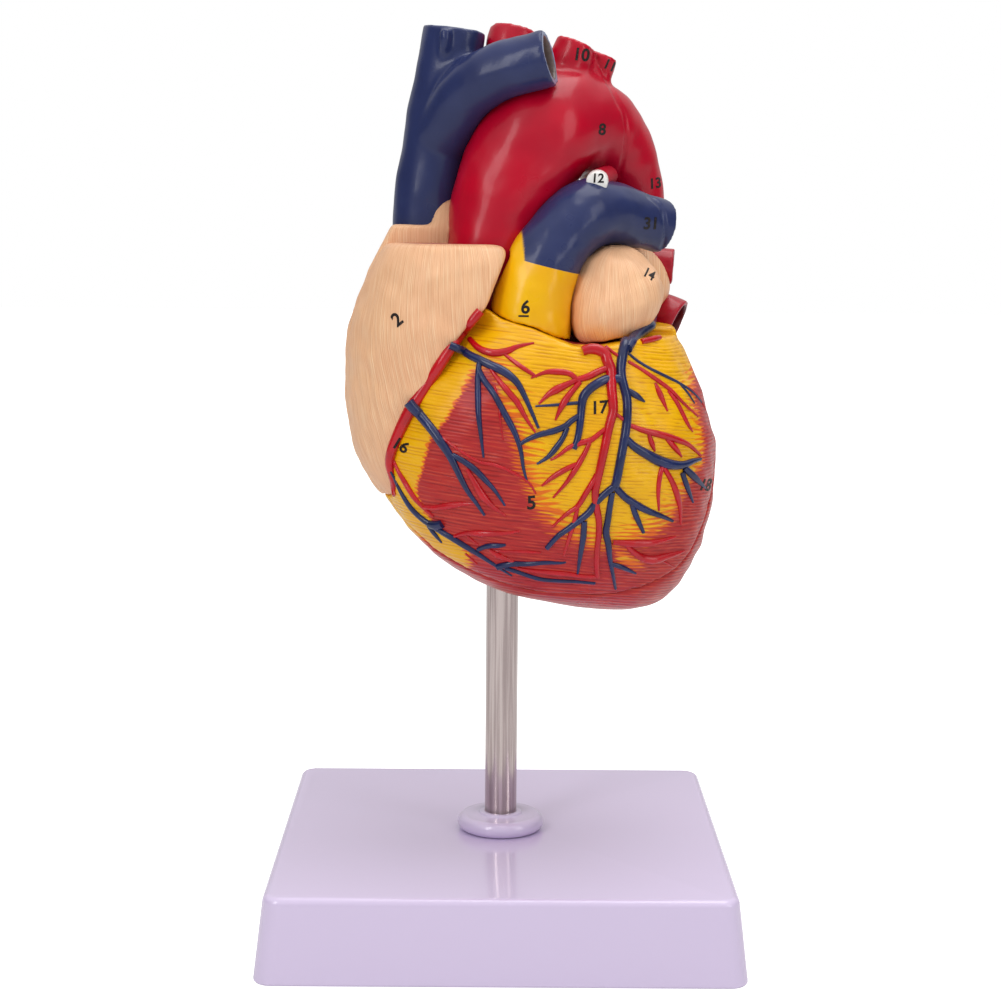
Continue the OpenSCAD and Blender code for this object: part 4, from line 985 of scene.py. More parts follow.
# the vessels on the back: x, h, radius
rearArteryLines = [
    [(-15, 66, 0.7), (-8, 76, 0.9), (14, 81, 0.9), (34, 79, 0.9), (52, 72, 0.7)],
    [(14, 80, 0.9), (18, 62, 1), (23, 42, 0.9), (28.5, 24, 0.7), (31, 16, 0.4)],
    [(34, 79, 0.8), (42, 60, 0.8), (46, 40, 0.4)],
    [(-8, 75, 0.7), (2, 55, 0.8), (8, 36, 0.4)],
]
rearVeinLines = [
    [(-14, 73, 1.7), (-4, 80.5, 2.2), (16, 84, 2.1), (36, 82.5, 1.8), (50, 77, 1.3)],
    [(10, 82, 1.1), (13, 60, 1.1), (18, 40, 1), (25, 20, 0.8), (30, 8, 0.4)],
    [(36, 82, 1), (50, 60, 0.9), (54, 38, 0.4)],
    [(-2, 78, 0.8), (-6, 58, 0.9), (-4, 38, 0.4)],
]


# the border of the red muscle in the front view, as x and z, up its left side and down its right side
redBorder = {
    "left": [(-9.8, 118.7), (-12.8, 121.1), (-17.3, 124.3), (-21.7, 128.1), (-24.3, 132.9), (-25.5, 135.9),
             (-25.2, 139.3), (-23.9, 143), (-22.8, 147.9), (-21.6, 152.3), (-19, 156), (-16.7, 158.7),
             (-13.8, 164), (-11.5, 168.3), (-9.2, 171.8)],
    "right": [(-4.9, 174.1), (-2.6, 171.7), (-1.4, 167.5), (-0.5, 163.3), (1.8, 159.1), (3, 155.1),
              (4.2, 151), (4.8, 146.7), (6.6, 141.7), (8.4, 137.8), (9.3, 134.3), (12, 131.9),
              (13.7, 129.8), (16.4, 126.7), (21.7, 124.2), (25.3, 122), (29.5, 121), (36, 121.8),
              (41.3, 124.3), (46.1, 126.2), (48.8, 128.1), (51.4, 132.5), (55.9, 141.6), (58.9, 143.8),
              (59.5, 149), (58.9, 153.5), (57.6, 159.4), (56.1, 164.7)],
    "outside": [(57, 172), (90, 176), (90, 60), (-10, 60)],
    "fade": [(-26, 0.9), (-14, 1.1), (-7, 2.5), (0, 5.5), (8, 6.5), (16, 7),
             (30, 5.5), (44, 6.5), (54, 3), (60, 2.2)],
    "lowX": -22,
    "patch": [(32, 120.8), (37, 119.5), (41.5, 117), (42, 113.5), (37, 114), (33, 116)],
}


def borderDistance(x, z, outline):
    # millimetres from the outline, above 0 inside it
    line = np.array(outline, float)
    best, inside = np.full(len(x), 1e9), np.zeros(len(x), bool)
    for a, b in zip(line, np.roll(line, -1, 0)):
        d = b - a
        t = np.clip(((x - a[0]) * d[0] + (z - a[1]) * d[1]) / (d @ d), 0, 1)
        best = np.minimum(best, np.hypot(x - a[0] - t * d[0], z - a[1] - t * d[1]))
        crosses = (a[1] > z) != (b[1] > z)
        inside ^= crosses & (x < a[0] + (z - a[1]) * d[0] / (d[1] if d[1] else 1e-9))
    return np.where(inside, best, -best)


def muscleBorder(co):
    x, y, z = co.T
    outline = redBorder["left"] + redBorder["right"] + redBorder["outside"]
    fadeX, fade = zip(*redBorder["fade"])
    front = borderDistance(x, z, outline) / np.interp(x, fadeX, fade)
    front = np.minimum(front, 0.35 - borderDistance(x, z, redBorder["patch"]) / 3)
    low = np.clip((x - redBorder["lowX"] - 0.9 * (z - 122)) / 9, -1, 1)
    seamY = np.interp(z - heartLow, [seam["lowH"], seam["bendH"]], [seam["lowY"], seam["y"]])
    front = np.where((y > seamY - 0.2) & (z < 140), np.maximum(front, low), front)
    # at the back the fat lies along the vessels, and the rest is muscle
    back = np.full(len(co), 1e9)
    for route in rearArteryLines + rearVeinLines:
        rows = smoothRows(route, 8)
        for row in rows:
            back = np.minimum(back, np.hypot(x - row[0], z - heartLow - row[1]) - 3.5 * row[2])
    share = ramp(y, -4, 14)
    back = np.minimum(back, (heartLow + seam["seatH"] - 5 - z) * 1.5)
    return np.clip(front * (1 - share) + np.clip(back / 3, -1.5, 1.5) * share, -1.5, 1.5)


walls = {"frontCell": 0.62, "rearCell": 0.85, "edgePasses": 5,
         "relief": [(0.28, 19, 11), (0.14, 8, 12)], "topBevel": 26}


def liftSkin(obj, lines, relief):
    # the same relief on both sides of the seam, so the walls still meet
    co = points(obj)
    depth = skinDepth(co, lines)
    mask = 1 - ramp(depth, 0.6, 2.2)
    rows = smoothRows(lines, 9)
    mid = [np.interp(co[:, 2] - heartLow, rows[:, 0], (rows[:, i] + rows[:, k]) / 2)
           for i, k in ((1, 2), (3, 4))]
    way = np.stack([co[:, 0] - mid[0], co[:, 1] - mid[1], np.zeros(len(co))], 1)
    way /= np.maximum(np.linalg.norm(way, axis=1), 1e-6)[:, None]
    lift = sum(height * softNoise(co, size, seed) for height, size, seed in relief)
    setPoints(obj, co + way * (lift * mask)[:, None])


def paintWall(obj, lines):
    co = points(obj)
    depth = skinDepth(co, lines)
    top = heartLow + seam["seatH"]
    onTop = ramp(co[:, 2], top - 7, top - 5) * (1 - ramp(depth, 7, 9))
    attribute(obj, "skin", np.maximum(1 - ramp(depth, 2.2, 3.4), onTop))
    attribute(obj, "red", muscleBorder(co))


def seamHoles(obj, spots, radius, low, high):
    # holes along y, low and high counted from the seam's face
    cut(obj, *[rod("hole", radius, seam["y"] + low, seam["y"] + high, (x, heartLow + h), 48, "y")
               for x, h in spots])


def magnetHoles(obj, spots, front=0.0):
    # front: how far the wall's face lies in front of the seam
    deep = fittings["magnetDeep"]
    seamHoles(obj, spots, fittings["magnetR"], -deep - front, deep)


def makeVentricleRear(p):
    body = ventricleForm()
    cut(body, *chamberCutters())
    cut(body, frontSide(), aboveH(seam["seatH"]), aortaForm(), pipe("trunk", trunkLine),
        *pipes(leftVeinLines, -1, 0, (0, 0, 1)))
    soften(body, p["rearCell"], p["edgePasses"])
    liftSkin(body, ventricleLines, p["relief"])
    cut(body, rod("socket", fittings["socketR"], fittings["socketLow"], fittings["socketHigh"]))
    magnetHoles(body, magnetSpots["ventricle"])
    seamHoles(body, pinSpots, fittings["pinR"], -2, fittings["pinDeep"])
    paintWall(body, ventricleLines)
    finish(body, "ventricleRear", "heart", heartPaint, ["ventricle_rear_wall"], sharp=60)


def makeVentricleFront(p):
    body = ventricleForm()
    within(body, frontPart(seam["gap"]))
    cut(body, *chamberCutters())
    cut(body, aortaRoom(0.5))
    soften(body, p["frontCell"], p["edgePasses"])
    liftSkin(body, ventricleLines, p["relief"])
    magnetHoles(body, magnetSpots["ventricle"], seam["gap"])
    paintWall(body, ventricleLines)
    finish(body, "ventricleFront", "front_cover", heartPaint, ["ventricle_front_wall"],
           sharp=60)


grain = {"middle": (-17, 2), "lean": 0.3, "leanTop": 196, "leanLow": 172, "round": 46}


def grainMarks(obj, p):
    # strokes run down the atrium and lean to the right lower down
    x, y, z = points(obj).T
    turn = np.arctan2(x - p["middle"][0], -(y - p["middle"][1]))
    span = p["leanTop"] - p["leanLow"]
    drop = np.clip(p["leanTop"] - z, 0, None)
    shift = p["lean"] * np.where(drop < span, drop ** 2 / (2 * span), drop - span / 2)
    attribute(obj, "grainAcross", (p["round"] * turn - shift) * 0.001)
    attribute(obj, "grainAlong", z * 0.001)


def paintedEdgeHighlight(obj, passes=9):
    # how sharply the skin bends, for the painted highlight on the edges
    n = normals(obj)
    probe = obj.copy()
    probe.data = obj.data.copy()
    bpy.context.scene.collection.objects.link(probe)
    settle(probe, passes)
    moved = ((points(obj) - points(probe)) * n).sum(1)
    bpy.data.objects.remove(probe)
    attribute(obj, "edge", ramp(moved, 0.22, 0.75) * 0.8)


def makeAtriumFront(p):
    body = atriumForm()
    within(body, frontPart(seam["gap"]))
    cut(body, *chamberCutters())
    cut(body, aortaRoom(0.5))
    soften(body, p["frontCell"], p["edgePasses"])
    # the top and the edge beside the aorta are rounded over more than the rest
    co = points(body)
    top = heartLow + seam["topH"]
    beside = ramp(co[:, 0] + 0.3 * (top - co[:, 2]), -1, 3) * ramp(co[:, 2], 188, 192)
    near = np.maximum(ramp(co[:, 2], top - 7, top - 3), beside)
    settle(body, p["topBevel"], near)
    liftSkin(body, atriumLines, p["relief"])
    magnetHoles(body, magnetSpots["atrium"], seam["gap"])
    attribute(body, "skin", 1 - ramp(skinDepth(points(body), atriumLines), 3, 4.5))
    paintedEdgeHighlight(body)
    grainMarks(body, grain)
    finish(body, "atriumFront", "front_cover", peachPaint, ["right_atrium_front_wall"],
           sharp=60)


def makeAtriumRear(p):
    body = fuse(atriumForm(), pipe("horn", hornLine))
    cut(body, *chamberCutters())
    cut(body, frontSide(), aortaForm(-1.2), ventricleForm(), pipe("cava", cavaLine, -1.2),
        pipe("bore", cavaLine, -vesselWall, 8))
    cut(body, pipe("lowerCava", lowerCavaLine, -1.2), blobAtrium(), pipe("trunk", trunkLine, -0.5),
        pipe("rightArtery", rightArteryLine, -1.2), *pipes(rightVeinLines, -1, 0))
    soften(body, p["rearCell"], p["edgePasses"])
    liftSkin(body, atriumLines, p["relief"])
    magnetHoles(body, magnetSpots["atrium"])
    co = points(body)
    top = heartLow + seam["topH"]
    outer = 1 - ramp(skinDepth(co, atriumLines), 3, 4.5)
    attribute(body, "skin", np.maximum(outer, ramp(co[:, 2], top - 4, top - 2.5)))
    paintedEdgeHighlight(body)
    grainMarks(body, grain)
    finish(body, "atriumRear", "heart", peachPaint, ["right_atrium_rear_wall"], sharp=60)


def makeLeftAtrium(p):
    body = within(blobAtrium(), aboveH(seam["seatH"]))
    cut(body, blobAtrium(-p["wall"]), aortaForm(-1.2), pipe("trunk", trunkLine, -1.2),
        pipe("rightArtery", rightArteryLine, -1.2), outlineLoft("auricle", auricleLines))
    cut(body, *pipes(leftVeinLines, -1, 0, (0, 0, 1)), *pipes(rightVeinLines, -1, 0, (0, 0, 1)))
    soften(body, p["cell"], p["passes"])
    swell(body, p["relief"])
    co = points(body)
    x, y, h = p["at"]
    away = np.linalg.norm((co - (x, y, h + heartLow)) / p["size"], axis=1)
    attribute(body, "skin", ramp(away, *p["skin"]))
    paintedEdgeHighlight(body)
    attribute(body, "grainAcross", co[:, 0] * 0.001)
    attribute(body, "grainAlong", co[:, 2] * 0.001)
    finish(body, "leftAtrium", "heart", peachPaint, ["left_atrium"], sharp=60)


def makeAuricle(p):
    body = outlineLoft("leftAuricle", auricleLines)
    lower = within(ventricleForm(), belowH(seam["seatH"]))
    cut(lower, frontSide())
    cut(body, pipe("trunk", trunkLine, -0.6), aortaForm(-1.2), blobAtrium(-leftAtrium["wall"]), frontPart(),
        lower, *pipes(leftVeinLines, -1, 0, (0, 0, 1)))
    soften(body, p["cell"], p["passes"])
    swell(body, p["relief"])
    co = points(body)
    attribute(body, "skin", np.ones(len(co)))
    paintedEdgeHighlight(body)
    turn = np.arctan2(co[:, 0] - p["middle"][0], -(co[:, 1] - p["middle"][1]))
    attribute(body, "grainAcross", (p["round"] * turn + p["lean"] * (co[:, 2] - p["leanFrom"])) * 0.001)
    attribute(body, "grainAlong", co[:, 2] * 0.001)
    finish(body, "leftAuricle", "heart", peachPaint, ["left_auricle"], sharp=60)


greatVessels = {
    "cell": 0.66, "passes": 4, "relief": [(0.26, 19, 41), (0.06, 8, 42)], "rootPasses": 60,
    "fatX": 5.8, "whiteTo": -11, "seamWide": 1.1, "seamDeep": 0.5,
}


def finishVessel(body, name, lines, nodes, material, p, relief=None, cell=None, roots=(), seams=()):
    # roots: places where the pipes run into each other softly, as x, y, h and reach
    soften(body, cell or p["cell"], p["passes"])
    co = points(body)
    near = np.zeros(len(co))
    for x, y, h, reach in roots:
        away = np.linalg.norm(co - (x, y, heartLow + h), axis=1)
        near = np.maximum(near, 1 - ramp(away, 0.4 * reach, reach))
    if roots:
        settle(body, p["rootPasses"], near * (1 - ramp(wallDepth(co, lines), 0.2, 0.6)))
    depth = wallDepth(points(body), lines)
    swell(body, relief or p["relief"], 1 - ramp(depth, 0.3, 0.9))
    for line in seams:
        dent(body, line, p["seamWide"], p["seamDeep"])
    attribute(body, "wall", depth)
    finish(body, name, "heart", material, nodes, sharp=60)


archRoots = [(17.8, 7, 161, 9), (26.5, 12.5, 160, 8), (1.5, 5, 162, 9)]
archSeam = [(25.7, 266.6), (27.8, 263), (30.9, 256.7), (34, 250.6), (35.7, 247.4), (36.6, 241.7),
            (36.1, 235.2), (34.6, 229.1)]
cavaRoots = [(-9, 0, 159, 16)]
cavaNub = [(-18.6, -2.6, 166.5, 1.2), (-18.5, -3.8, 169, 1.7), (-18.4, -4.2, 172, 1.8),
           (-18.3, -4.1, 174.6, 1.5)]
arteryCuff = [(43.2, 222.9), (46.8, 219.7), (47.7, 215.5), (48.2, 211.3), (47.9, 207.6)]


def dent(body, line, width, depth):
    # presses a thin line, given as x and z, into the skin that faces the front
    co, n = points(body), normals(body)
    rows = smoothRows(line, 10)
    away = np.full(len(co), 1e9)
    for x, z in rows:
        away = np.minimum(away, np.hypot(co[:, 0] - x, co[:, 2] - z))
    push = depth * (1 - ramp(away, 0.2 * width, width)) * ramp(-n[:, 1], 0.0, 0.2)
    setPoints(body, co - n * push[:, None])


def makeArch(p):
    body = fuse(aortaForm(), *pipes(branchLines))
    thin = vesselWall * 0.7
    cut(body, pipe("bore", aortaLine, -vesselWall, 3, aortaSide), *pipes(branchLines, -thin, 3))
    cut(body, pipe("crossVein", crossVeinLine, -1), pipe("cava", cavaLine, -1))
    lines = [(aortaLine, vesselWall)] + [(line, thin) for line in branchLines]
    finishVessel(body, "aortaArch", lines, ["aorta", "arch_branches"], arteryPaint, p,
                 roots=archRoots, seams=[archSeam])


def makeVenaCava(p):
    body = fuse(pipe("venaCava", cavaLine), pipe("crossVein", crossVeinLine), pipe("nub", cavaNub, seg=24))
    cut(body, pipe("bore", cavaLine, -vesselWall, 3), pipe("bore", crossVeinLine, -vesselWall, 3),
        aortaForm(-0.6))
    lines = [(cavaLine, vesselWall), (crossVeinLine, vesselWall)]
    finishVessel(body, "venaCava", lines, ["superior_vena_cava", "left_brachiocephalic_vein"],
                 veinPaint, p, [(0.16, 16, 51), (0.05, 7, 52)], roots=cavaRoots)


trunkParting = {"x": 12.3, "h": 105.4, "angle": -14}


def overParting(p):
    c, s = math.cos(math.radians(p["angle"])), math.sin(math.radians(p["angle"]))
    x, z = p["x"], heartLow + p["h"]
    corners = [(-far, 0), (far, 0), (far, far), (-far, far)]
    return prism("over", [(x + c * a - s * b, z + s * a + c * b) for a, b in corners], -far, far, "y")


def makeTrunk(p):
    whole = pipe("trunk", trunkLine)
    cut(whole, pipe("bore", trunkLine, -vesselWall, 3), aortaForm(-0.8), coverRegion(),
        pipe("branchBore", rightArteryLine, -vesselWall))
    soften(whole, 0.6, p["passes"])
    depth = wallDepth(points(whole), [(trunkLine, vesselWall)])
    swell(whole, [(0.16, 13, 61), (0.05, 6, 62)], 1 - ramp(depth, 0.3, 0.9))
    dent(whole, arteryCuff, p["seamWide"], p["seamDeep"])
    upper = whole.copy()
    upper.data = whole.data.copy()
    bpy.context.scene.collection.objects.link(upper)
    within(upper, overParting(trunkParting))
    cut(whole, overParting(trunkParting))
    for body, name, node, slot, material in (
            (whole, "pulmonaryTrunk", "pulmonary_trunk", "fat_yellow_paint", trunkPaint),
            (upper, "leftPulmonaryArtery", "left_pulmonary_artery", "vein_blue_paint", veinPaint)):
        co = points(body)
        attribute(body, "wall", wallDepth(co, [(trunkLine, vesselWall)]))
        leftOf = ramp(co[:, 0] + 0.1 * (co[:, 2] - 205), p["fatX"], p["fatX"] - 0.6)
        attribute(body, "fat", leftOf * ramp(co[:, 2], 214, 211))
        finish(body, name, "heart", material, [node], sharp=50)


def makeSideVessels(p):
    body = pipe("rightArtery", rightArteryLine)
    cut(body, pipe("bore", rightArteryLine, -vesselWall, 3), aortaForm(-0.6), pipe("trunk", trunkLine, -1),
        pipe("cava", cavaLine, -1))
    finishVessel(body, "rightPulmonaryArtery", [(rightArteryLine, vesselWall)], ["right_pulmonary_artery"],
                 veinPaint, p, [(0.3, 12, 71)])
    thin = vesselWall * 0.8
    for lines, name, node in ((leftVeinLines, "leftPulmonaryVeins", "left_pulmonary_veins"),
                              (rightVeinLines, "rightPulmonaryVeins", "right_pulmonary_veins")):
        body = fuse(*pipes(lines, 0, 0, (0, 0, 1)))
        cut(body, *pipes(lines, -thin, 3, (0, 0, 1)))
        if name == "rightPulmonaryVeins":
            lower = within(ventricleForm(), belowH(seam["seatH"]))
            cut(body, pipe("rightArtery", rightArteryLine, -0.6), lower)
        finishVessel(body, name, [(line, thin) for line in lines], [node],
                     lungVeinPaint, p, [(0.25, 10, 72)], 0.6)
    body = pipe("lowerCava", lowerCavaLine)
    cut(body, pipe("bore", lowerCavaLine, -vesselWall, 3), ventricleForm(),
        ballSkin("atriumRoom", chambers["rightAtrium"], 0))
    finishVessel(body, "inferiorVenaCava", [(lowerCavaLine, vesselWall)], ["inferior_vena_cava"],
                 veinPaint, p, [(0.3, 12, 73)])
    body = pipe("ligament", ligamentLine, 0.1)
    cut(body, aortaForm(-0.8), pipe("trunk", trunkLine, -0.8))
    soften(body, 0.45, 3)
    attribute(body, "wall", 0.5 * ramp(points(body)[:, 1], p["whiteTo"] + 0.6, p["whiteTo"]))
    finish(body, "arterialLigament", "heart", ligamentPaint, ["arterial_ligament"], sharp=60)


def sweepTree():
    # a round cord along each route, as thick as its "thick" mark says
    tree = bpy.data.node_groups.new("sweptVessel", "GeometryNodeTree")
    for label, kind, value in (("Geometry", "Geometry", None), ("Sides", "Int", 14),
                               ("Thickness", "Float", 1.0), ("Paint", "Material", None)):
        socket = tree.interface.new_socket(label, in_out="INPUT", socket_type="NodeSocket" + kind)
        if value is not None:
            socket.default_value = value
    tree.interface.new_socket("Geometry", in_out="OUTPUT", socket_type="NodeSocketGeometry")
    given, out = tree.nodes.new("NodeGroupInput").outputs, tree.nodes.new("NodeGroupOutput").inputs
    curve = put(tree, "GeometryNodeMeshToCurve", {"Mesh": given["Geometry"]}).outputs[0]
    ring = put(tree, "GeometryNodeCurvePrimitiveCircle",
               {"Resolution": given["Sides"], "Radius": 1.0}).outputs[0]
    thick = put(tree, "GeometryNodeInputNamedAttribute", {"Name": "thick"},
                data_type="FLOAT").outputs["Attribute"]
    scale = sums(tree, "MULTIPLY", thick, given["Thickness"])
    swept = put(tree, "GeometryNodeCurveToMesh",
                {"Curve": curve, "Profile Curve": ring, "Scale": scale, "Fill Caps": True}).outputs[0]
    real = put(tree, "GeometryNodeRealizeInstances", {"Geometry": swept}).outputs[0]
    painted = put(tree, "GeometryNodeSetMaterial", {"Geometry": real, "Material": given["Paint"]}).outputs[0]
    feed(tree, out["Geometry"], painted)
    return tree


sweep = sweepTree()


def sweepRoutes(name, routes, material, sides=14, thickness=1.0):
    # routes: lists of x, y, z, radius in millimetres
    verts, edges, thick = [], [], []
    for route in routes:
        start = len(verts)
        verts += [row[:3] for row in route]
        thick += [row[3] for row in route]
        edges += [(start + i, start + i + 1) for i in range(len(route) - 1)]
    mesh = bpy.data.meshes.new(name)
    mesh.from_pydata([tuple(map(float, v)) for v in verts], edges, [])
    obj = bpy.data.objects.new(name, mesh)
    bpy.context.scene.collection.objects.link(obj)
    attribute(obj, "thick", thick)
    m = obj.modifiers.new("sweep", "NODES")
    m.node_group = sweep
    settings = {"Sides": sides, "Thickness": thickness, "Paint": material}
    for item in sweep.interface.items_tree:
        if item.in_out == "INPUT" and item.name in settings:
            m[item.identifier] = settings[item.name]
    bake(obj)
    return outwards(obj)


def skinOf(*names):
    # something to cast routes on, in millimetres
    bm = bmesh.new()
    for name in names:
        bm.from_mesh(made[name].data)
    bmesh.ops.scale(bm, vec=(1000, 1000, 1000), verts=bm.verts)
    tree = BVHTree.FromBMesh(bm)
    bm.free()
    return tree


def castOn(tree, x, z, back=False):
    hit = tree.ray_cast(Vector((x, far if back else -far, z)), Vector((0, -1 if back else 1, 0)))
    return (hit[0].y, hit[1]) if hit[0] else (None, None)


def bedded(tree, route, gap, sink, back=False, steps=7, even=2, proud=None):
    # a route laid on the skin, its middle above the skin by a share of its radius
    rows, laid = smoothRows(route, steps), []
    for x, z, r in rows:
        y, n = castOn(tree, x, z, back)
        if y is None or (not back and y > gap(z)):
            laid.append(None)
            continue
        at = Vector((x, y, z)) + n * (r * sink)
        laid.append([at.x, at.y, at.z, r, y + r * (proud or 0)])
    runs, run = [], []
    for row in laid + [None]:
        if row is None:
            if len(run) > 3:
                runs.append(np.array(run))
            run = []
        else:
            run.append(row)
    for run in runs:
        for _ in range(even):
            run[1:-1, :3] = 0.5 * run[1:-1, :3] + 0.25 * (run[:-2, :3] + run[2:, :3])
            if proud is not None:
                run[:, 1] = np.minimum(run[:, 1], run[:, 4])
    return [run[:, :4] for run in runs]


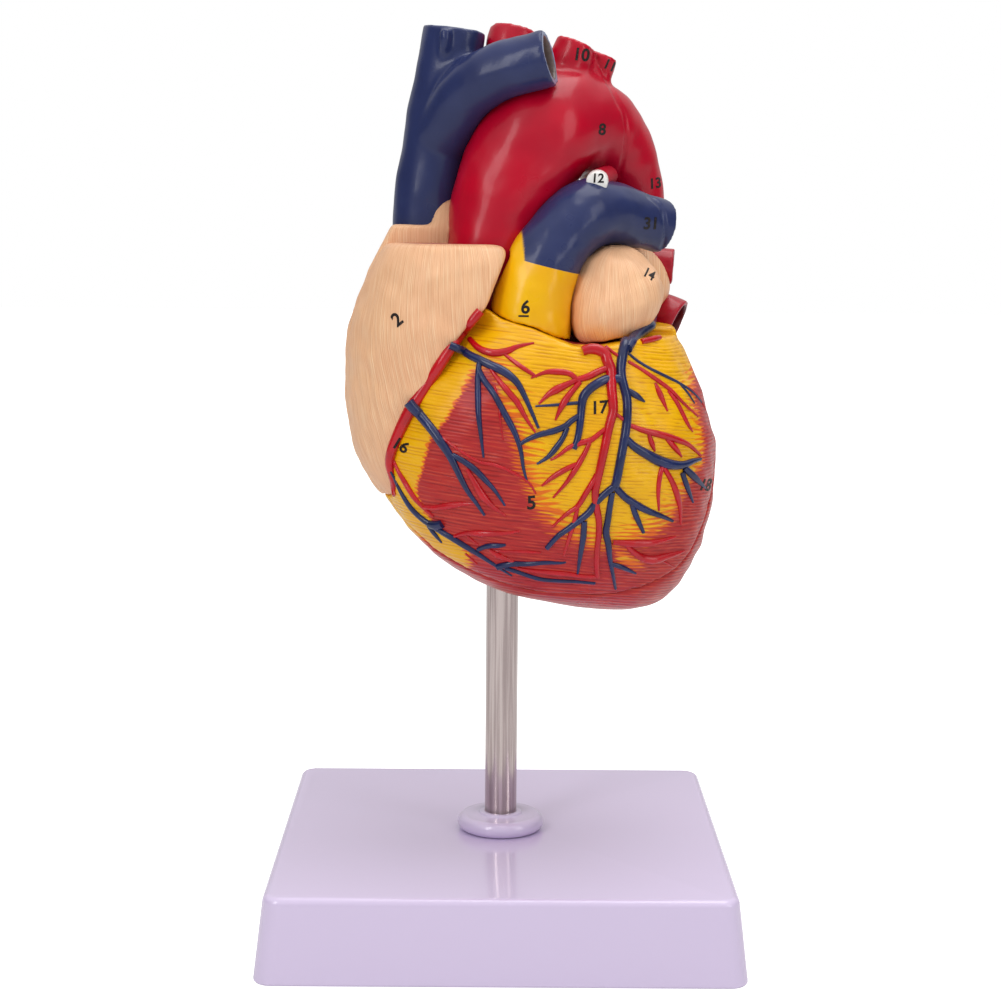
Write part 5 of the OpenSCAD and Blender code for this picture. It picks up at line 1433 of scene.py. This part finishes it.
coronary = {"sides": 14, "sink": 0.05, "swell": 1.42, "grooveSwell": 1.85, "proud": 0.05, "veinParting": 84.8}
frontRoutes = {  # x, z and radius at each point, in the front view
    "arteryRoutes": [
        [(-7.3, 189.8, 0.74), (-9.8, 186.9, 0.79), (-12.2, 183.4, 0.83), (-16, 178.8, 0.87),
         (-18.6, 175, 0.92), (-21.2, 170.2, 0.96), (-25, 165.1, 1.01), (-27, 162.2, 1.05),
         (-30.3, 155.8, 0.98), (-32, 151.5, 0.91), (-33.4, 148.3, 0.84), (-34.2, 144.3, 0.77),
         (-33.6, 141.7, 0.7), (-32.7, 138.5, 0.63), (-32.9, 135.5, 0.55), (-32.3, 134, 0.48)],
        [(-10.3, 181.3, 0.59), (-7.4, 178.8, 0.73), (-3.2, 177.7, 0.86), (0.5, 178.3, 0.79),
         (3.7, 179.7, 0.51), (8.4, 180.8, 0.23)],
        [(0, 177.4, 0.35), (3.7, 174.8, 0.5), (7, 172.7, 0.46), (9.3, 171.3, 0.23)],
        [(-4.1, 173.3, 0.35), (-1.8, 170.3, 0.51), (0.9, 167.2, 0.67), (3.8, 163.8, 0.65),
         (6.1, 159.7, 0.44), (8.9, 155.6, 0.23)],
        [(-18.7, 153.7, 0.23), (-13.7, 150.3, 0.29), (-7.6, 146.7, 0.35), (-2.7, 145.9, 0.4),
         (2.6, 143.8, 0.34), (7.1, 141, 0.27), (9.2, 137.7, 0.2)],
        [(-3.1, 168.8, 0.23), (-1.6, 163.8, 0.29), (-1.3, 159, 0.26), (-0.4, 153.3, 0.14)],
        [(-10.8, 144.6, 0.41), (-8.7, 141, 0.64), (-6.3, 136.9, 0.87), (-3.4, 133.7, 0.55),
         (0.6, 130.7, 0.23)],
        [(-32.9, 145.7, 0.36), (-31.3, 142.3, 0.5), (-29.2, 138.9, 0.64), (-26.6, 134.9, 0.64),
         (-24.1, 132.2, 0.5), (-20.7, 129.1, 0.35)],
        [(-23.6, 131.9, 0.47), (-19.9, 132.1, 0.59), (-15.7, 133.1, 0.7), (-11.6, 133.9, 0.47),
         (-8.3, 134.1, 0.23)],
        [(-14.5, 123.4, 0.35), (-10.7, 124.7, 0.53), (-5.4, 125, 0.7), (-0.5, 125.2, 0.47),
         (4.8, 126.1, 0.23)],
        [(-10.7, 123.8, 0.35), (-7.5, 121.1, 0.24)],
        [(-4.1, 119.9, 0.35), (-1.3, 118.1, 0.65), (3.4, 116, 0.24)],
        [(-2.2, 119.6, 0.26), (4.9, 119.6, 0.35), (11, 119.4, 0.23)],
        [(4.2, 114.2, 0.3), (9.1, 113.4, 0.44), (13.2, 113.1, 0.58), (18.6, 112.6, 0.58),
         (23.3, 111.8, 0.44), (28.1, 111.8, 0.3)],
        [(-11.2, 117.9, 0.27), (-7.8, 114.5, 0.21)],
        [(22.4, 178.6, 1.0), (24.7, 179.2, 1.15), (27, 178.9, 1.2), (28.8, 177.9, 1.2),
         (29.6, 175.8, 1.18), (30.5, 173.6, 1.15), (30.7, 171, 1.11), (30.8, 167.8, 1.08),
         (31.2, 164.2, 1.05), (31.3, 161.5, 1.02), (30.3, 158, 0.98), (29.2, 152.6, 0.94),
         (28.1, 147, 0.89), (27, 141.5, 0.85), (26.4, 137.9, 0.8), (26.8, 134, 0.76),
         (27.7, 129.5, 0.71), (27.8, 125.4, 0.67), (27.5, 120.8, 0.62), (27.5, 116.2, 0.58),
         (27.9, 111.6, 0.53)],
        [(29.3, 179.8, 0.35), (31.6, 178, 0.35), (33.2, 177, 0.35)],
        [(35.8, 175.5, 0.35), (40, 173, 0.42), (44.8, 169.7, 0.49), (48.8, 166.7, 0.47),
         (52.8, 162.7, 0.36), (57.5, 158.4, 0.24)],
        [(43.9, 169.2, 0.26), (45.3, 166, 0.64), (47.7, 160.9, 0.18)],
        [(47.8, 166.7, 0.26), (50.7, 162.9, 0.52), (53.7, 157.1, 0.49), (55.7, 154.3, 0.18)],
        [(54.5, 166.9, 0.27), (57.8, 164.2, 0.36), (60.7, 159.5, 0.21)],
        [(33.7, 184, 0.9), (34.6, 181.9, 0.65)],
        [(40, 180.9, 0.59), (44, 181.5, 0.66), (47.6, 181.8, 0.42)],
        [(31.6, 161.3, 0.41), (34.3, 159.2, 0.41)],
        [(36, 157.6, 0.46), (40.4, 155.8, 0.61), (44.7, 154.6, 0.75), (49.7, 152.9, 0.72),
         (54.3, 150.7, 0.51), (58.4, 146.9, 0.3)],
        [(41.9, 154.8, 0.35), (42.9, 152, 0.58), (43.9, 149.6, 0.2)],
        [(47.2, 153.1, 0.35), (49.7, 150.6, 0.65), (52.2, 147.4, 0.21)],
        [(30.1, 174.1, 0.64), (26.8, 172.8, 0.75), (24, 171.5, 0.75), (20.8, 170.6, 0.64)],
        [(20.8, 170.6, 0.52), (18.5, 172.4, 0.61), (14.7, 172.8, 0.69), (11.6, 172.6, 0.46),
         (7.5, 171, 0.23)],
        [(20.8, 170.6, 0.52), (17.6, 169.1, 0.69), (14.7, 167.7, 0.87), (12.4, 166.3, 0.55),
         (9.8, 163.8, 0.23)],
        [(21.7, 170, 0.52), (19.1, 167, 0.64), (17.1, 164.3, 0.75), (15.7, 161.6, 0.48),
         (14.6, 159.1, 0.2)],
        [(30.1, 157.4, 0.46), (27.3, 155.2, 0.52), (25, 153.5, 0.58), (22.2, 152.7, 0.63),
         (18.6, 151.3, 0.5), (15.9, 149.2, 0.37), (13.3, 147.7, 0.23)],
        [(24.6, 152.9, 0.46), (23.2, 149.7, 0.55), (21.6, 146.8, 0.65), (20.1, 144.2, 0.6),
         (17.8, 140.8, 0.42), (14.2, 136.5, 0.23)],
        [(21.4, 146.8, 0.4), (17.8, 145, 0.6), (14.1, 142.7, 0.54), (10.9, 140.1, 0.23)],
        [(26.9, 143.5, 0.64), (25.9, 141.6, 0.62), (23.5, 137.5, 0.6), (21.4, 134, 0.58),
         (18.9, 132.2, 0.47), (16.4, 130, 0.35), (14.1, 127.6, 0.23)],
        [(21.4, 133.5, 0.41), (20.5, 129.2, 0.49), (19.1, 124.1, 0.43), (17.7, 118.9, 0.23)],
        [(32, 122.8, 0.59), (35.1, 122.5, 0.71), (38.9, 122.1, 0.82), (43.5, 122.1, 0.76),
         (47.1, 122.5, 0.5), (51.1, 123.2, 0.24)],
        [(36, 121.8, 0.47), (38.2, 119.6, 0.65), (41, 117.5, 0.83), (44.6, 116.6, 1.01),
         (48.2, 117.2, 0.75), (51.8, 117.7, 0.5), (54.2, 118.3, 0.24)],
        [(46.9, 116.1, 0.24), (51.3, 113.3, 0.18)],
        [(46.3, 145.1, 0.53), (45.5, 142.6, 0.57), (45.1, 137.7, 0.47), (45.5, 131.9, 0.24)],
        [(46.7, 144.6, 0.53), (49.1, 140.6, 0.62), (51, 135.9, 0.71), (52.1, 131.8, 0.47),
         (52.6, 126.8, 0.24)],
    ],
    "veinRoutes": [
        [(45.9, 183.6, 1.39), (44.3, 185.4, 1.33), (41.8, 184.7, 1.28), (38.1, 183.2, 1.22),
         (35.6, 181.3, 1.17), (34.2, 177.9, 1.11), (33.6, 174, 1.06), (33.8, 170.9, 1.01),
         (34.8, 167.3, 0.98), (35.4, 164.2, 0.98), (35.4, 159.6, 0.97), (35, 155.6, 0.96),
         (34.3, 151.4, 0.95), (33.5, 146.8, 0.94), (32.7, 142.2, 0.94), (32.2, 140, 0.93)],
        [(35.8, 177.9, 0.29), (38.6, 175.6, 0.31), (42.4, 173.3, 0.33), (47.3, 170.8, 0.35),
         (51.4, 168.6, 0.32), (56.1, 165.4, 0.28), (59.2, 161.9, 0.24)],
        [(51.4, 168.6, 0.27), (54.4, 165.2, 0.3), (56.5, 162.2, 0.18)],
        [(35.1, 167.8, 0.52), (38, 165.9, 0.7), (40.7, 164, 0.23)],
        [(33.7, 170.7, 0.93), (30.5, 170.9, 0.94), (27.7, 170.1, 0.96), (24.9, 168.4, 0.97),
         (22.8, 166.1, 0.98), (22.2, 163.5, 0.89), (21.9, 159.8, 0.81), (21.3, 154.8, 0.72),
         (20, 150.9, 0.63)],
        [(22.1, 164.2, 0.35), (18.9, 163.9, 0.37), (14.8, 163.5, 0.32), (8.8, 163.1, 0.2)],
        [(21.9, 160.7, 0.58), (19.4, 159.1, 0.62), (17.6, 157.5, 0.65), (14.4, 156.1, 0.69),
         (10.2, 155, 0.6), (7.1, 153.8, 0.5), (4.3, 152.1, 0.4)],
        [(18.1, 157, 0.52), (16.7, 153.8, 0.58), (14.4, 150.6, 0.63), (12.2, 148.3, 0.43),
         (9.4, 146.5, 0.23)],
        [(35.3, 153.7, 0.75), (37.7, 151.2, 0.89), (41.2, 149, 1.02), (44.8, 146.9, 1.16),
         (48.5, 145.5, 1.11), (52.3, 145, 0.86), (55.8, 145.7, 0.61), (58.5, 145.9, 0.36)],
        [(52.9, 144.2, 0.71), (56.2, 141, 0.77), (60.3, 136.8, 0.24)],
        [(52.3, 142.8, 0.59), (53.9, 138.6, 0.65), (56.3, 133.1, 0.24)],
        [(32.2, 140, 0.76), (29.6, 138, 0.76), (26.9, 135.3, 0.76), (24.8, 132.2, 0.76),
         (22.3, 130, 0.72), (19, 127.3, 0.66), (15.6, 124.7, 0.59), (12.7, 121, 0.53)],
        [(23.4, 129.5, 0.64), (23.3, 125, 0.68), (22.7, 119.9, 0.55), (22, 112.6, 0.24)],
        [(31.4, 138.1, 0.64), (30.8, 133.9, 0.67), (30.3, 129.4, 0.71), (29.9, 125.8, 0.74),
         (30.7, 122.2, 0.7), (31.3, 117.9, 0.56), (32.2, 113.5, 0.43), (33.6, 107.1, 0.3)],
        [(31.8, 115.8, 0.47), (35, 114.7, 0.59), (39.4, 112.2, 0.24)],
        [(32.3, 139.7, 0.76), (35.1, 136.5, 0.78), (38.5, 134.1, 0.81), (42.2, 132, 0.72),
         (46.7, 130, 0.51), (50, 128.2, 0.3)],
        [(37.3, 134.1, 0.53), (38.7, 130.5, 0.64), (41.1, 125.4, 0.35)],
        [(-16, 179.9, 0.82), (-13.1, 178.6, 0.84), (-10.2, 176.9, 0.87), (-7.4, 175.8, 0.89),
         (-4.6, 174.6, 0.91), (-0.8, 173, 0.93), (2.3, 170.9, 0.8), (4.2, 168.7, 0.67),
         (6.1, 165.1, 0.54), (7.9, 161.1, 0.42), (9.8, 156.8, 0.29)],
        [(-7.4, 175.3, 0.58), (-7.8, 171, 0.63), (-7.7, 165.7, 0.67), (-7.5, 160.3, 0.6),
         (-6.8, 154.4, 0.42), (-6, 148, 0.23)],
        [(-7.5, 172.8, 0.64), (-6, 170.1, 0.65), (-3.1, 166.3, 0.66), (-0.8, 162.3, 0.68),
         (1.5, 158.2, 0.69), (3.3, 154.7, 0.58), (4.8, 150, 0.46), (5.5, 145.4, 0.35),
         (6.5, 141.7, 0.23)],
        [(-28, 163.1, 1.17), (-26.5, 161.3, 1.12), (-24.1, 158.8, 1.07), (-21.1, 155.5, 1.01),
         (-18.2, 151.7, 0.96), (-15.8, 148.3, 0.86), (-13.7, 144.1, 0.72), (-10.8, 138.4, 0.58),
         (-7.9, 134.2, 0.43), (-5.6, 130.7, 0.29)],
        [(-14.9, 148.4, 0.58), (-11.7, 146.7, 0.63), (-8.3, 144.3, 0.67), (-5.5, 141.5, 0.6),
         (-2.6, 138.3, 0.42), (0.3, 133.9, 0.23)],
        [(-33.6, 141.7, 0.24), (-31.7, 137.8, 0.4), (-29.6, 134.2, 0.57), (-27.1, 130.7, 0.68),
         (-24.1, 128, 0.72), (-21.1, 126.2, 0.77)],
        [(-21.7, 126.5, 0.89), (-19.9, 126.4, 1.06), (-18, 127.1, 0.94)],
        [(-21.1, 126.2, 0.71), (-18.2, 124.5, 0.71), (-14.9, 122.7, 0.71), (-11.6, 120.7, 0.71),
         (-8.2, 118.6, 0.61), (-4.9, 116.5, 0.51), (-1.8, 114.4, 0.41)],
        [(-7.5, 119.5, 0.47), (-4.5, 121.1, 0.59), (-1.3, 121.4, 0.52), (0.7, 121.7, 0.26)],
        [(-22.4, 125.9, 0.41), (-20.4, 123.5, 0.59), (-18.3, 120.6, 0.24)],
        [(-1.6, 114.3, 0.77), (2.1, 115.5, 0.67), (6.7, 115.7, 0.58), (12.4, 116.3, 0.47),
         (16.6, 116.2, 0.35), (18.4, 116.5, 0.24)],
        [(0.5, 114, 0.47), (2.9, 113.4, 0.49), (7.1, 111.9, 0.51), (11.2, 110.6, 0.53),
         (16.8, 110.1, 0.47), (22.1, 109.9, 0.42), (27.3, 109.4, 0.36)],
        [(-1.5, 114.2, 0.41), (2.6, 111.4, 0.24)],
    ],
}


def seamFront(z):
    # the seam's y at a height, a little in front of it
    h = z - heartLow
    return float(np.interp(h, [seam["lowH"], seam["bendH"]], [seam["lowY"], seam["y"]])) - 0.8


def overGroove(runs, groove):
    # carries the veins over the artery that lies in the groove
    for run in runs:
        for row in run:
            apart = np.hypot(groove[:, 0] - row[0], groove[:, 2] - row[2])
            i = apart.argmin()
            over = groove[i, 1] - groove[i, 3] - 0.1 * row[3]
            row[1] = min(row[1], row[1] + (over - row[1]) * (1 - ramp(apart[i], 1.4, 4.2)))


def makeFrontVessels(p):
    skin = skinOf("ventricleFront", "atriumFront")
    for key, name, node, slot, material in (
            ("arteryRoutes", "frontCoronaryArteries", "front_coronary_arteries", "artery_red_paint",
             coronaryRed),
            ("veinRoutes", "frontCardiacVeins", "front_cardiac_veins", "vein_blue_paint", coronaryBlue)):
        runs = []
        for i, route in enumerate(frontRoutes[key]):
            if key == "arteryRoutes" and i == 0:
                groove = bedded(skin, [(x, z, r * p["grooveSwell"]) for x, z, r in route], seamFront, 0.1,
                                even=40, proud=p["proud"])
                runs += groove
            else:
                runs += bedded(skin, [(x, z, r * p["swell"]) for x, z, r in route], seamFront, p["sink"])
        if key == "veinRoutes":
            overGroove(runs, np.vstack(groove))
        finish(sweepRoutes(name, runs, material, p["sides"]), name, "front_cover", material, [node])


auricleVein = [(46.2, 185.9, 1.1), (43.6, 185.3, 1.3), (41.1, 184.3, 1.4), (38.2, 182.4, 1.45),
               (36.2, 180.6, 1.45), (35.4, 179, 1.4)]


def makeAuricleVein(p):
    skin = skinOf("leftAuricle", "leftAtrium", "ventricleRear", "ventricleFront")
    runs = bedded(skin, [(x, z, r * 1.15) for x, z, r in auricleVein], lambda z: far, 0.2, even=90, proud=0.9)
    edge = heartLow + p["veinParting"]
    for name, body, parts in (("auricleVein", "heart", [run[run[:, 2] >= edge] for run in runs]),
                              ("auricleVeinFoot", "front_cover",
                               [run[run[:, 2] <= edge + 0.5] for run in runs])):
        vein = sweepRoutes(name, [part for part in parts if len(part) > 2], coronaryBlue, p["sides"])
        finish(vein, name, body, coronaryBlue)


def makeRearVessels(p):
    skin = skinOf("ventricleRear", "atriumRear")
    for lines, scale, name, node, slot, material in (
            (rearArteryLines, 1.5, "rearCoronaryArteries", "rear_coronary_arteries", "artery_red_paint",
             coronaryRed),
            (rearVeinLines, 1.7, "rearCardiacVeins", "rear_cardiac_veins", "vein_blue_paint", coronaryBlue)):
        runs, highest = [], heartLow + seam["seatH"] - 1
        for route in lines:
            rows = [(x, min(heartLow + h, highest), r * scale * 0.9) for x, h, r in route]
            runs += bedded(skin, rows, seamFront, p["sink"] - 0.1, True)
        finish(sweepRoutes(name, runs, material, p["sides"]), name, "heart", material, [node])


# papillary muscles: foot, tip, and where their cords reach the flaps
papillae = {
    "right": [((-6, 1.5, 35.5), (-10, -3.2, 50), (-13.5, 2.2, 62.1)),
              ((-21, 3, 39.5), (-18.5, -2.5, 49), (-17.3, -3, 56.4))],
    "left": [((51, 4, 38), (45, -1, 54), (38.3, 0.8, 67.2)), ((38, 8, 44), (36, 3, 57), (29.6, 2, 67.2))],
    "radius": 3.6, "cord": 0.42,
}


def makePapillae(p):
    for side in ("right", "left"):
        muscles, cords = [], []
        for foot, tip, mouth in p[side]:
            foot, tip, mouth = np.array(foot, float), np.array(tip, float), np.array(mouth, float)
            way = (tip - foot) / np.linalg.norm(tip - foot)
            r = p["radius"]
            rows = [(*(foot - way * 1.5), r * 1.1), (*foot, r), (*(foot + (tip - foot) * 0.5), r * 0.82),
                    (*(tip - way * 2), r * 0.6), (*(tip - way * 0.5), r * 0.36), (*tip, r * 0.12)]
            muscles.append(pipe("papilla", rows, seg=32, steps=5))
            for spread in (-1, 1):
                end = mouth + (0, spread, 0)
                start = tip - way * 1.2
                middle = (start + end) / 2 + (0.3 * spread, 0.5 * spread, 0.2)
                rows = smoothRows([(*start, p["cord"]), (*middle, p["cord"] * 0.8), (*end, p["cord"])], 6)
                rows[:, 2] += heartLow
                cords.append(rows)
        body = fuse(*muscles)
        room = ballSkin("room", chambers[side + "Ventricle"], 0)
        within(body, room)
        soften(body, 0.4, 3)
        swell(body, [(0.25, 5, 81), (0.12, 2, 82)])
        co = points(body)
        attribute(body, "skin", np.zeros(len(co)))
        attribute(body, "red", np.ones(len(co)))
        finish(body, side + "PapillaryMuscles", "heart", heartPaint, [side + "_papillary_muscles"])
        finish(sweepRoutes(side + "Chordae", cords, creamPaint, 8), side + "Chordae", "heart", creamPaint,
               ["chordae_" + side])


# text, x, z, height, turn in degrees, and the pieces under it, the first of which carries it
numbers = [
    ("2", -31.5, 186.8, 3.9, 40, ["atriumFront"]),
    ("6", 5.8, 190.7, 3.9, 0, ["pulmonaryTrunk"]),
    ("_", 5.4, 190.4, 3.9, 0, ["pulmonaryTrunk"]),
    ("17", 27.2, 162.6, 3.7, 4, ["ventricleFront", "frontCoronaryArteries"]),
    ("16", -30.6, 149.9, 3.6, -28, ["ventricleFront", "atriumFront", "frontCoronaryArteries"]),
    ("5", 7.9, 134.8, 4.1, 4, ["ventricleFront"]),
    ("31", 43.6, 214.7, 3.6, 0, ["leftPulmonaryArtery"]),
    ("10", 22.3, 264.6, 3.7, -4, ["aortaArch"]),
    ("11", 31.4, 262.0, 3.0, -20, ["aortaArch"]),
    ("8", 28.6, 242.4, 3.4, 0, ["aortaArch"]),
    ("12", 27.0, 228.0, 2.7, 0, ["arterialLigament", "leftPulmonaryArtery"]),
    ("13", 46.2, 226.6, 3.2, 8, ["aortaArch"]),
    ("14", 42.4, 200.2, 2.7, -30, ["leftAuricle", "leftAtrium"]),
    ("18", 60.4, 137.5, 3.4, -20, ["ventricleRear", "ventricleFront"]),
]
numberFilm = {"lift": 0.07, "sink": 0.12, "slant": 0.06}


def printNumber(i, text, x, z, height, turn, pieces, p):
    data = bpy.data.curves.new("number", "FONT")
    data.body, data.size, data.align_x, data.align_y = text, height * 1.38, "CENTER", "CENTER"
    data.shear, data.offset, data.resolution_u = p["slant"], height * 0.034, 4
    label = bpy.data.objects.new("number", data)
    bpy.context.scene.collection.objects.link(label)
    mesh = bpy.data.meshes.new_from_object(label.evaluated_get(bpy.context.evaluated_depsgraph_get()))
    bpy.data.objects.remove(label)
    bm = bmesh.new()
    bm.from_mesh(mesh)
    bmesh.ops.remove_doubles(bm, verts=bm.verts, dist=1e-4)
    bmesh.ops.triangulate(bm, faces=bm.faces)
    for _ in range(3):
        long = [e for e in bm.edges if e.calc_length() > 0.7]
        if long:
            bmesh.ops.subdivide_edges(bm, edges=long, cuts=1)
            bmesh.ops.triangulate(bm, faces=bm.faces)
    skin = skinOf(*pieces)
    c, s = math.cos(math.radians(turn)), math.sin(math.radians(turn))
    spots, ok = [], True
    for v in bm.verts:
        px, pz = x + c * v.co.x - s * v.co.y, z + s * v.co.x + c * v.co.y
        y, n = castOn(skin, px, pz)
        ok = ok and y is not None
        spots.append((Vector((px, y, pz)), n) if y is not None else None)
    if not ok:
        print("  number", text, "runs off its piece")
        bm.free()
        return
    faces = [[v.index for v in f.verts] for f in bm.faces]
    rims = [(e.verts[0].index, e.verts[1].index) for e in bm.edges if e.is_boundary]
    bm.free()
    n = len(spots)
    top = [at + way * p["lift"] for at, way in spots]
    under = [at - way * p["sink"] for at, way in spots]
    sides = [(a, b, b + n, a + n) for a, b in rims]
    obj = outwards(meshObject("number", top + under,
                              faces + [[k + n for k in f[::-1]] for f in faces] + sides))
    finish(obj, "number_%02d" % i, made[pieces[0]]["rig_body"], numberInk, sharp=30)


makeVentricleRear(walls)
makeVentricleFront(walls)
makeAtriumFront(walls)
makeAtriumRear(walls)
print("walls made")
makeLeftAtrium(leftAtrium)
makeAuricle(leftAuricle)
makeArch(greatVessels)
makeVenaCava(greatVessels)
makeTrunk(greatVessels)
makeSideVessels(greatVessels)
print("great vessels made")
makeFrontVessels(coronary)
makeAuricleVein(coronary)
makeRearVessels(coronary)
makePapillae(papillae)
print("small vessels and valve muscles made")
for i, row in enumerate(numbers):
    printNumber(i, *row, numberFilm)
print("numbers printed")


keptNodes = {
    "rod_insert": screwSteel, "fixing_screw": screwSteel, "fixing_washer": screwSteel,
    "rod_socket_bush": bushPlastic, "rear_magnets": magnetPlate, "front_magnets": magnetPlate,
    "locating_pins": bushPlastic, "tricuspid_ring": creamPaint, "tricuspid_flaps": creamPaint,
    "mitral_ring": creamPaint, "mitral_flaps": creamPaint,
    "aortic_valve_cusps": creamPaint, "pulmonary_valve_cusps": creamPaint,
}
for node, material in keptNodes.items():
    for slot in frame["nodes"][node].material_slots:
        slot.material = material


floor = {"half": 3.0, "seen": 1.0, "glow": 0.3}


def makeFloor(p):
    h = p["half"]
    obj = meshObject("studioFloor", [(-h, -h, 0), (h, -h, 0), (h, h, 0), (-h, h, 0)], [(0, 1, 2, 3)])
    obj.data.transform(Matrix.Translation((0, 0, -0.0002)))
    material, tree, shader, place = newMaterial("paleFloor", Roughness=0.9, Specular_IOR_Level=0.1)
    tone = cloud(tree, place, 3.0)
    feed(tree, shader.inputs["Base Color"], blend(tree, tone, (0.46, 0.46, 0.46), (0.5, 0.5, 0.5)))
    shader.inputs["Emission Color"].default_value = (1, 1, 1, 1)
    seen = put(tree, "ShaderNodeLightPath").outputs["Is Camera Ray"]
    feed(tree, shader.inputs["Emission Strength"], remap(tree, seen, 0.0, 1.0, p["glow"], p["seen"]))
    obj.data.materials.append(material)


makeFloor(floor)
bpy.context.scene.view_settings.view_transform = "Standard"
